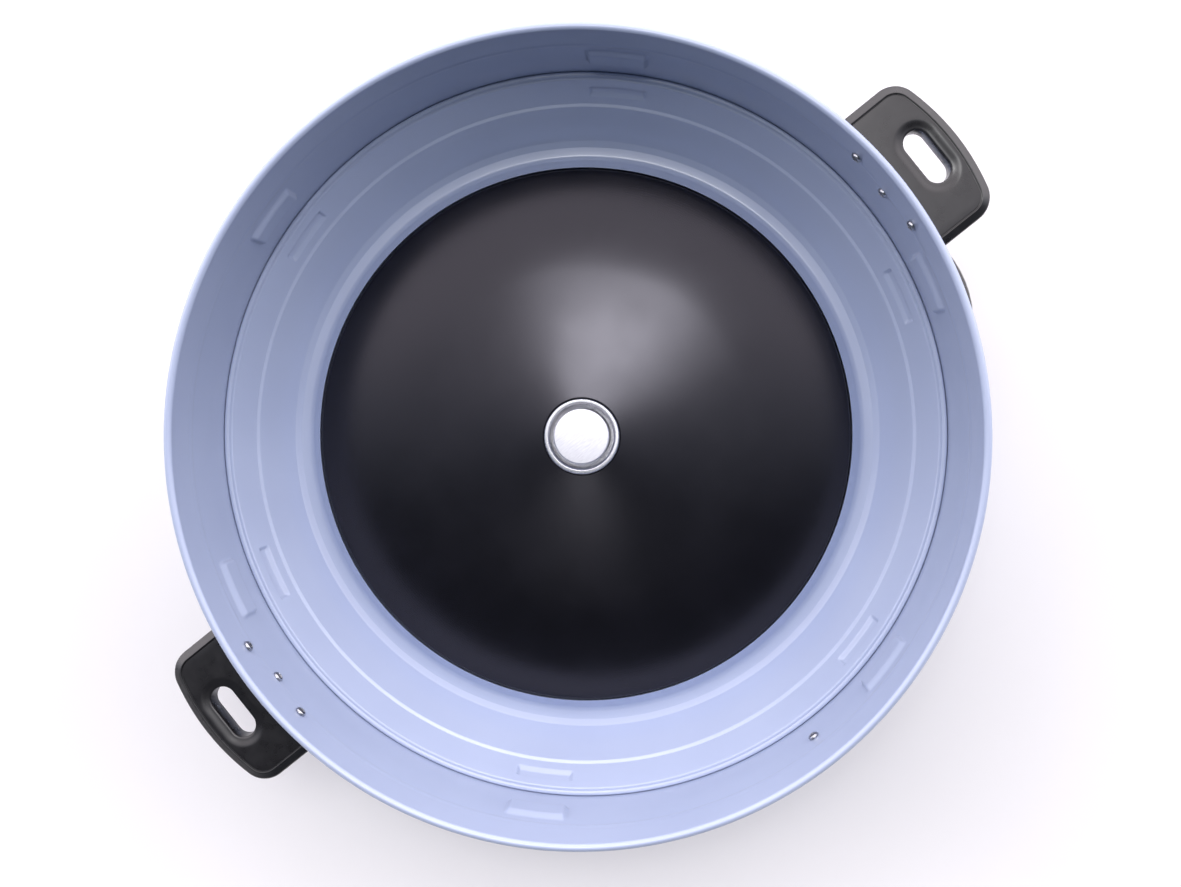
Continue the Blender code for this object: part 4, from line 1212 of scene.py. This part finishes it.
def aim(light, place, target):
    """Put a light at a place and turn its face towards a target."""
    light.matrix_world = (Matrix.Translation(place)
                          @ (place - target).to_track_quat("Z", "Y").to_matrix().to_4x4())


def add_softbox(name, power, size, direction, roll):
    """Rectangular light over the drum, in a direction given by its x and y in the view."""
    data = bpy.data.lights.new(name, "AREA")
    data.shape = "RECTANGLE"
    data.size, data.size_y = size
    data.energy = power
    light = bpy.data.objects.new(name, data)
    light.visible_camera = False
    bpy.context.scene.collection.objects.link(light)
    level = math.sqrt(1.0 - direction[0] ** 2 - direction[1] ** 2)
    place = Matrix.Rotation(-roll, 3, "Z") @ Vector((direction[0], direction[1], level))
    target = Vector((0.0, 0.0, SOFTBOX_TARGET))
    aim(light, place * SOFTBOX_DISTANCE + target, target)


def half_lit_room(stage):
    """Plain room, bright towards the top of the view, dim and a little bluer on the other side."""
    world = bpy.data.worlds.new("half_lit_room")
    world.use_nodes = True
    tree = world.node_tree
    azimuth = 0.5 * math.pi - stage.roll + stage.side_turn
    direction = add_node(tree, "ShaderNodeTexCoord").outputs["Generated"]
    ahead = add_node(tree, "ShaderNodeVectorMath",
                     {0: direction, 1: (math.cos(azimuth), math.sin(azimuth), 0.0)},
                     operation="DOT_PRODUCT")
    facing = ahead.outputs["Value"]
    side = ranged(tree, facing, stage.dim_side, stage.bright_side, -0.15, 0.2)
    height = add_node(tree, "ShaderNodeSeparateXYZ", {"Vector": direction}).outputs["Z"]
    strength = add_node(tree, "ShaderNodeMath",
                        {0: side, 1: ranged(tree, height, 1.0, stage.overhead, 0.6, 0.95)},
                        operation="MULTIPLY").outputs["Value"]
    tint = mixed_colour(tree, ranged(tree, facing, 0.0, 1.0, -0.15, 0.2), linear("#DDEBFF"),
                        linear("#FFF9FF"))
    background = tree.nodes["Background"]
    tree.links.new(tint, background.inputs["Color"])
    tree.links.new(strength, background.inputs["Strength"])
    return world


class OBJECT_OT_cooker_stage(bpy.types.Operator):
    """Build the pale floor, the soft lights, the room light and the camera"""
    bl_idname = "object.cooker_stage"
    bl_label = "Stage"

    def execute(self, context):
        stage = context.scene.cooker_stage
        mesh = bpy.data.meshes.new("studio_floor")
        far = 6.0
        mesh.from_pydata([(-far, -far, 0.0), (far, -far, 0.0), (far, far, 0.0), (-far, far, 0.0)],
                         [], [(0, 1, 2, 3)])
        mesh.materials.append(pale_floor_paint())
        floor = bpy.data.objects.new("studio_floor", mesh)
        context.scene.collection.objects.link(floor)

        add_softbox("top_softbox", stage.top_light, (0.42, 0.26), (0.01, 0.2), stage.roll)
        add_softbox("back_softbox", stage.back_light, (0.2, 0.12), (-0.06, -0.21), stage.roll)
        context.scene.view_settings.view_transform = "Standard"
        context.scene.world = half_lit_room(stage)

        data = bpy.data.cameras.new("studio_camera")
        data.sensor_width = 36.0
        data.lens = stage.lens
        camera = bpy.data.objects.new("studio_camera", data)
        context.scene.collection.objects.link(camera)
        camera.matrix_world = camera_matrix(stage)
        context.scene.camera = camera
        return {"FINISHED"}


def camera_matrix(stage):
    """Camera over the rim, looking down: turned by the two tilts, then by the view's roll."""
    tilt = Matrix.Rotation(-stage.tilt_up, 3, "X") @ Matrix.Rotation(stage.tilt_side, 3, "Y")
    unroll = Matrix.Rotation(-stage.roll, 4, "Z")
    place = Matrix.Translation((stage.shift_right, stage.shift_up, RIM_TOP * MM + stage.height))
    return unroll @ place @ tilt.to_4x4()


# ---------------------------------------------------------------- panel and registration
STEPS = (
    OBJECT_OT_cooker_finishes, OBJECT_OT_cooker_drum, OBJECT_OT_cooker_liner,
    OBJECT_OT_cooker_plate, OBJECT_OT_cooker_sensor, OBJECT_OT_cooker_grips,
    OBJECT_OT_cooker_screws, OBJECT_OT_cooker_control_box, OBJECT_OT_cooker_trim,
    OBJECT_OT_cooker_bottom, OBJECT_OT_cooker_mechanism, OBJECT_OT_cooker_stage,
)


class VIEW3D_PT_cooker(bpy.types.Panel):
    """Lists the steps and the settings of the cooker body"""
    bl_idname = "VIEW3D_PT_cooker"
    bl_label = "Cooker Body"
    bl_space_type = "VIEW_3D"
    bl_region_type = "UI"
    bl_category = "Cooker"

    def draw(self, context):
        for step in STEPS:
            self.layout.operator(step.bl_idname)
        for name, group in SETTINGS.items():
            column = self.layout.column(heading=group.__name__)
            for setting in group.__annotations__:
                column.prop(getattr(context.scene, name), setting)


def register():
    for group in SETTINGS.values():
        bpy.utils.register_class(group)
    for name, group in SETTINGS.items():
        setattr(bpy.types.Scene, name, PointerProperty(type=group))
    for step in STEPS:
        bpy.utils.register_class(step)
    bpy.utils.register_class(VIEW3D_PT_cooker)


def unregister():
    bpy.utils.unregister_class(VIEW3D_PT_cooker)
    for step in reversed(STEPS):
        bpy.utils.unregister_class(step)
    for name in SETTINGS:
        delattr(bpy.types.Scene, name)
    for group in reversed(SETTINGS.values()):
        bpy.utils.unregister_class(group)


def main():
    register()
    for step in STEPS:
        group, name = step.bl_idname.split(".")
        getattr(getattr(bpy.ops, group), name)()


if __name__ == "__main__":
    main()
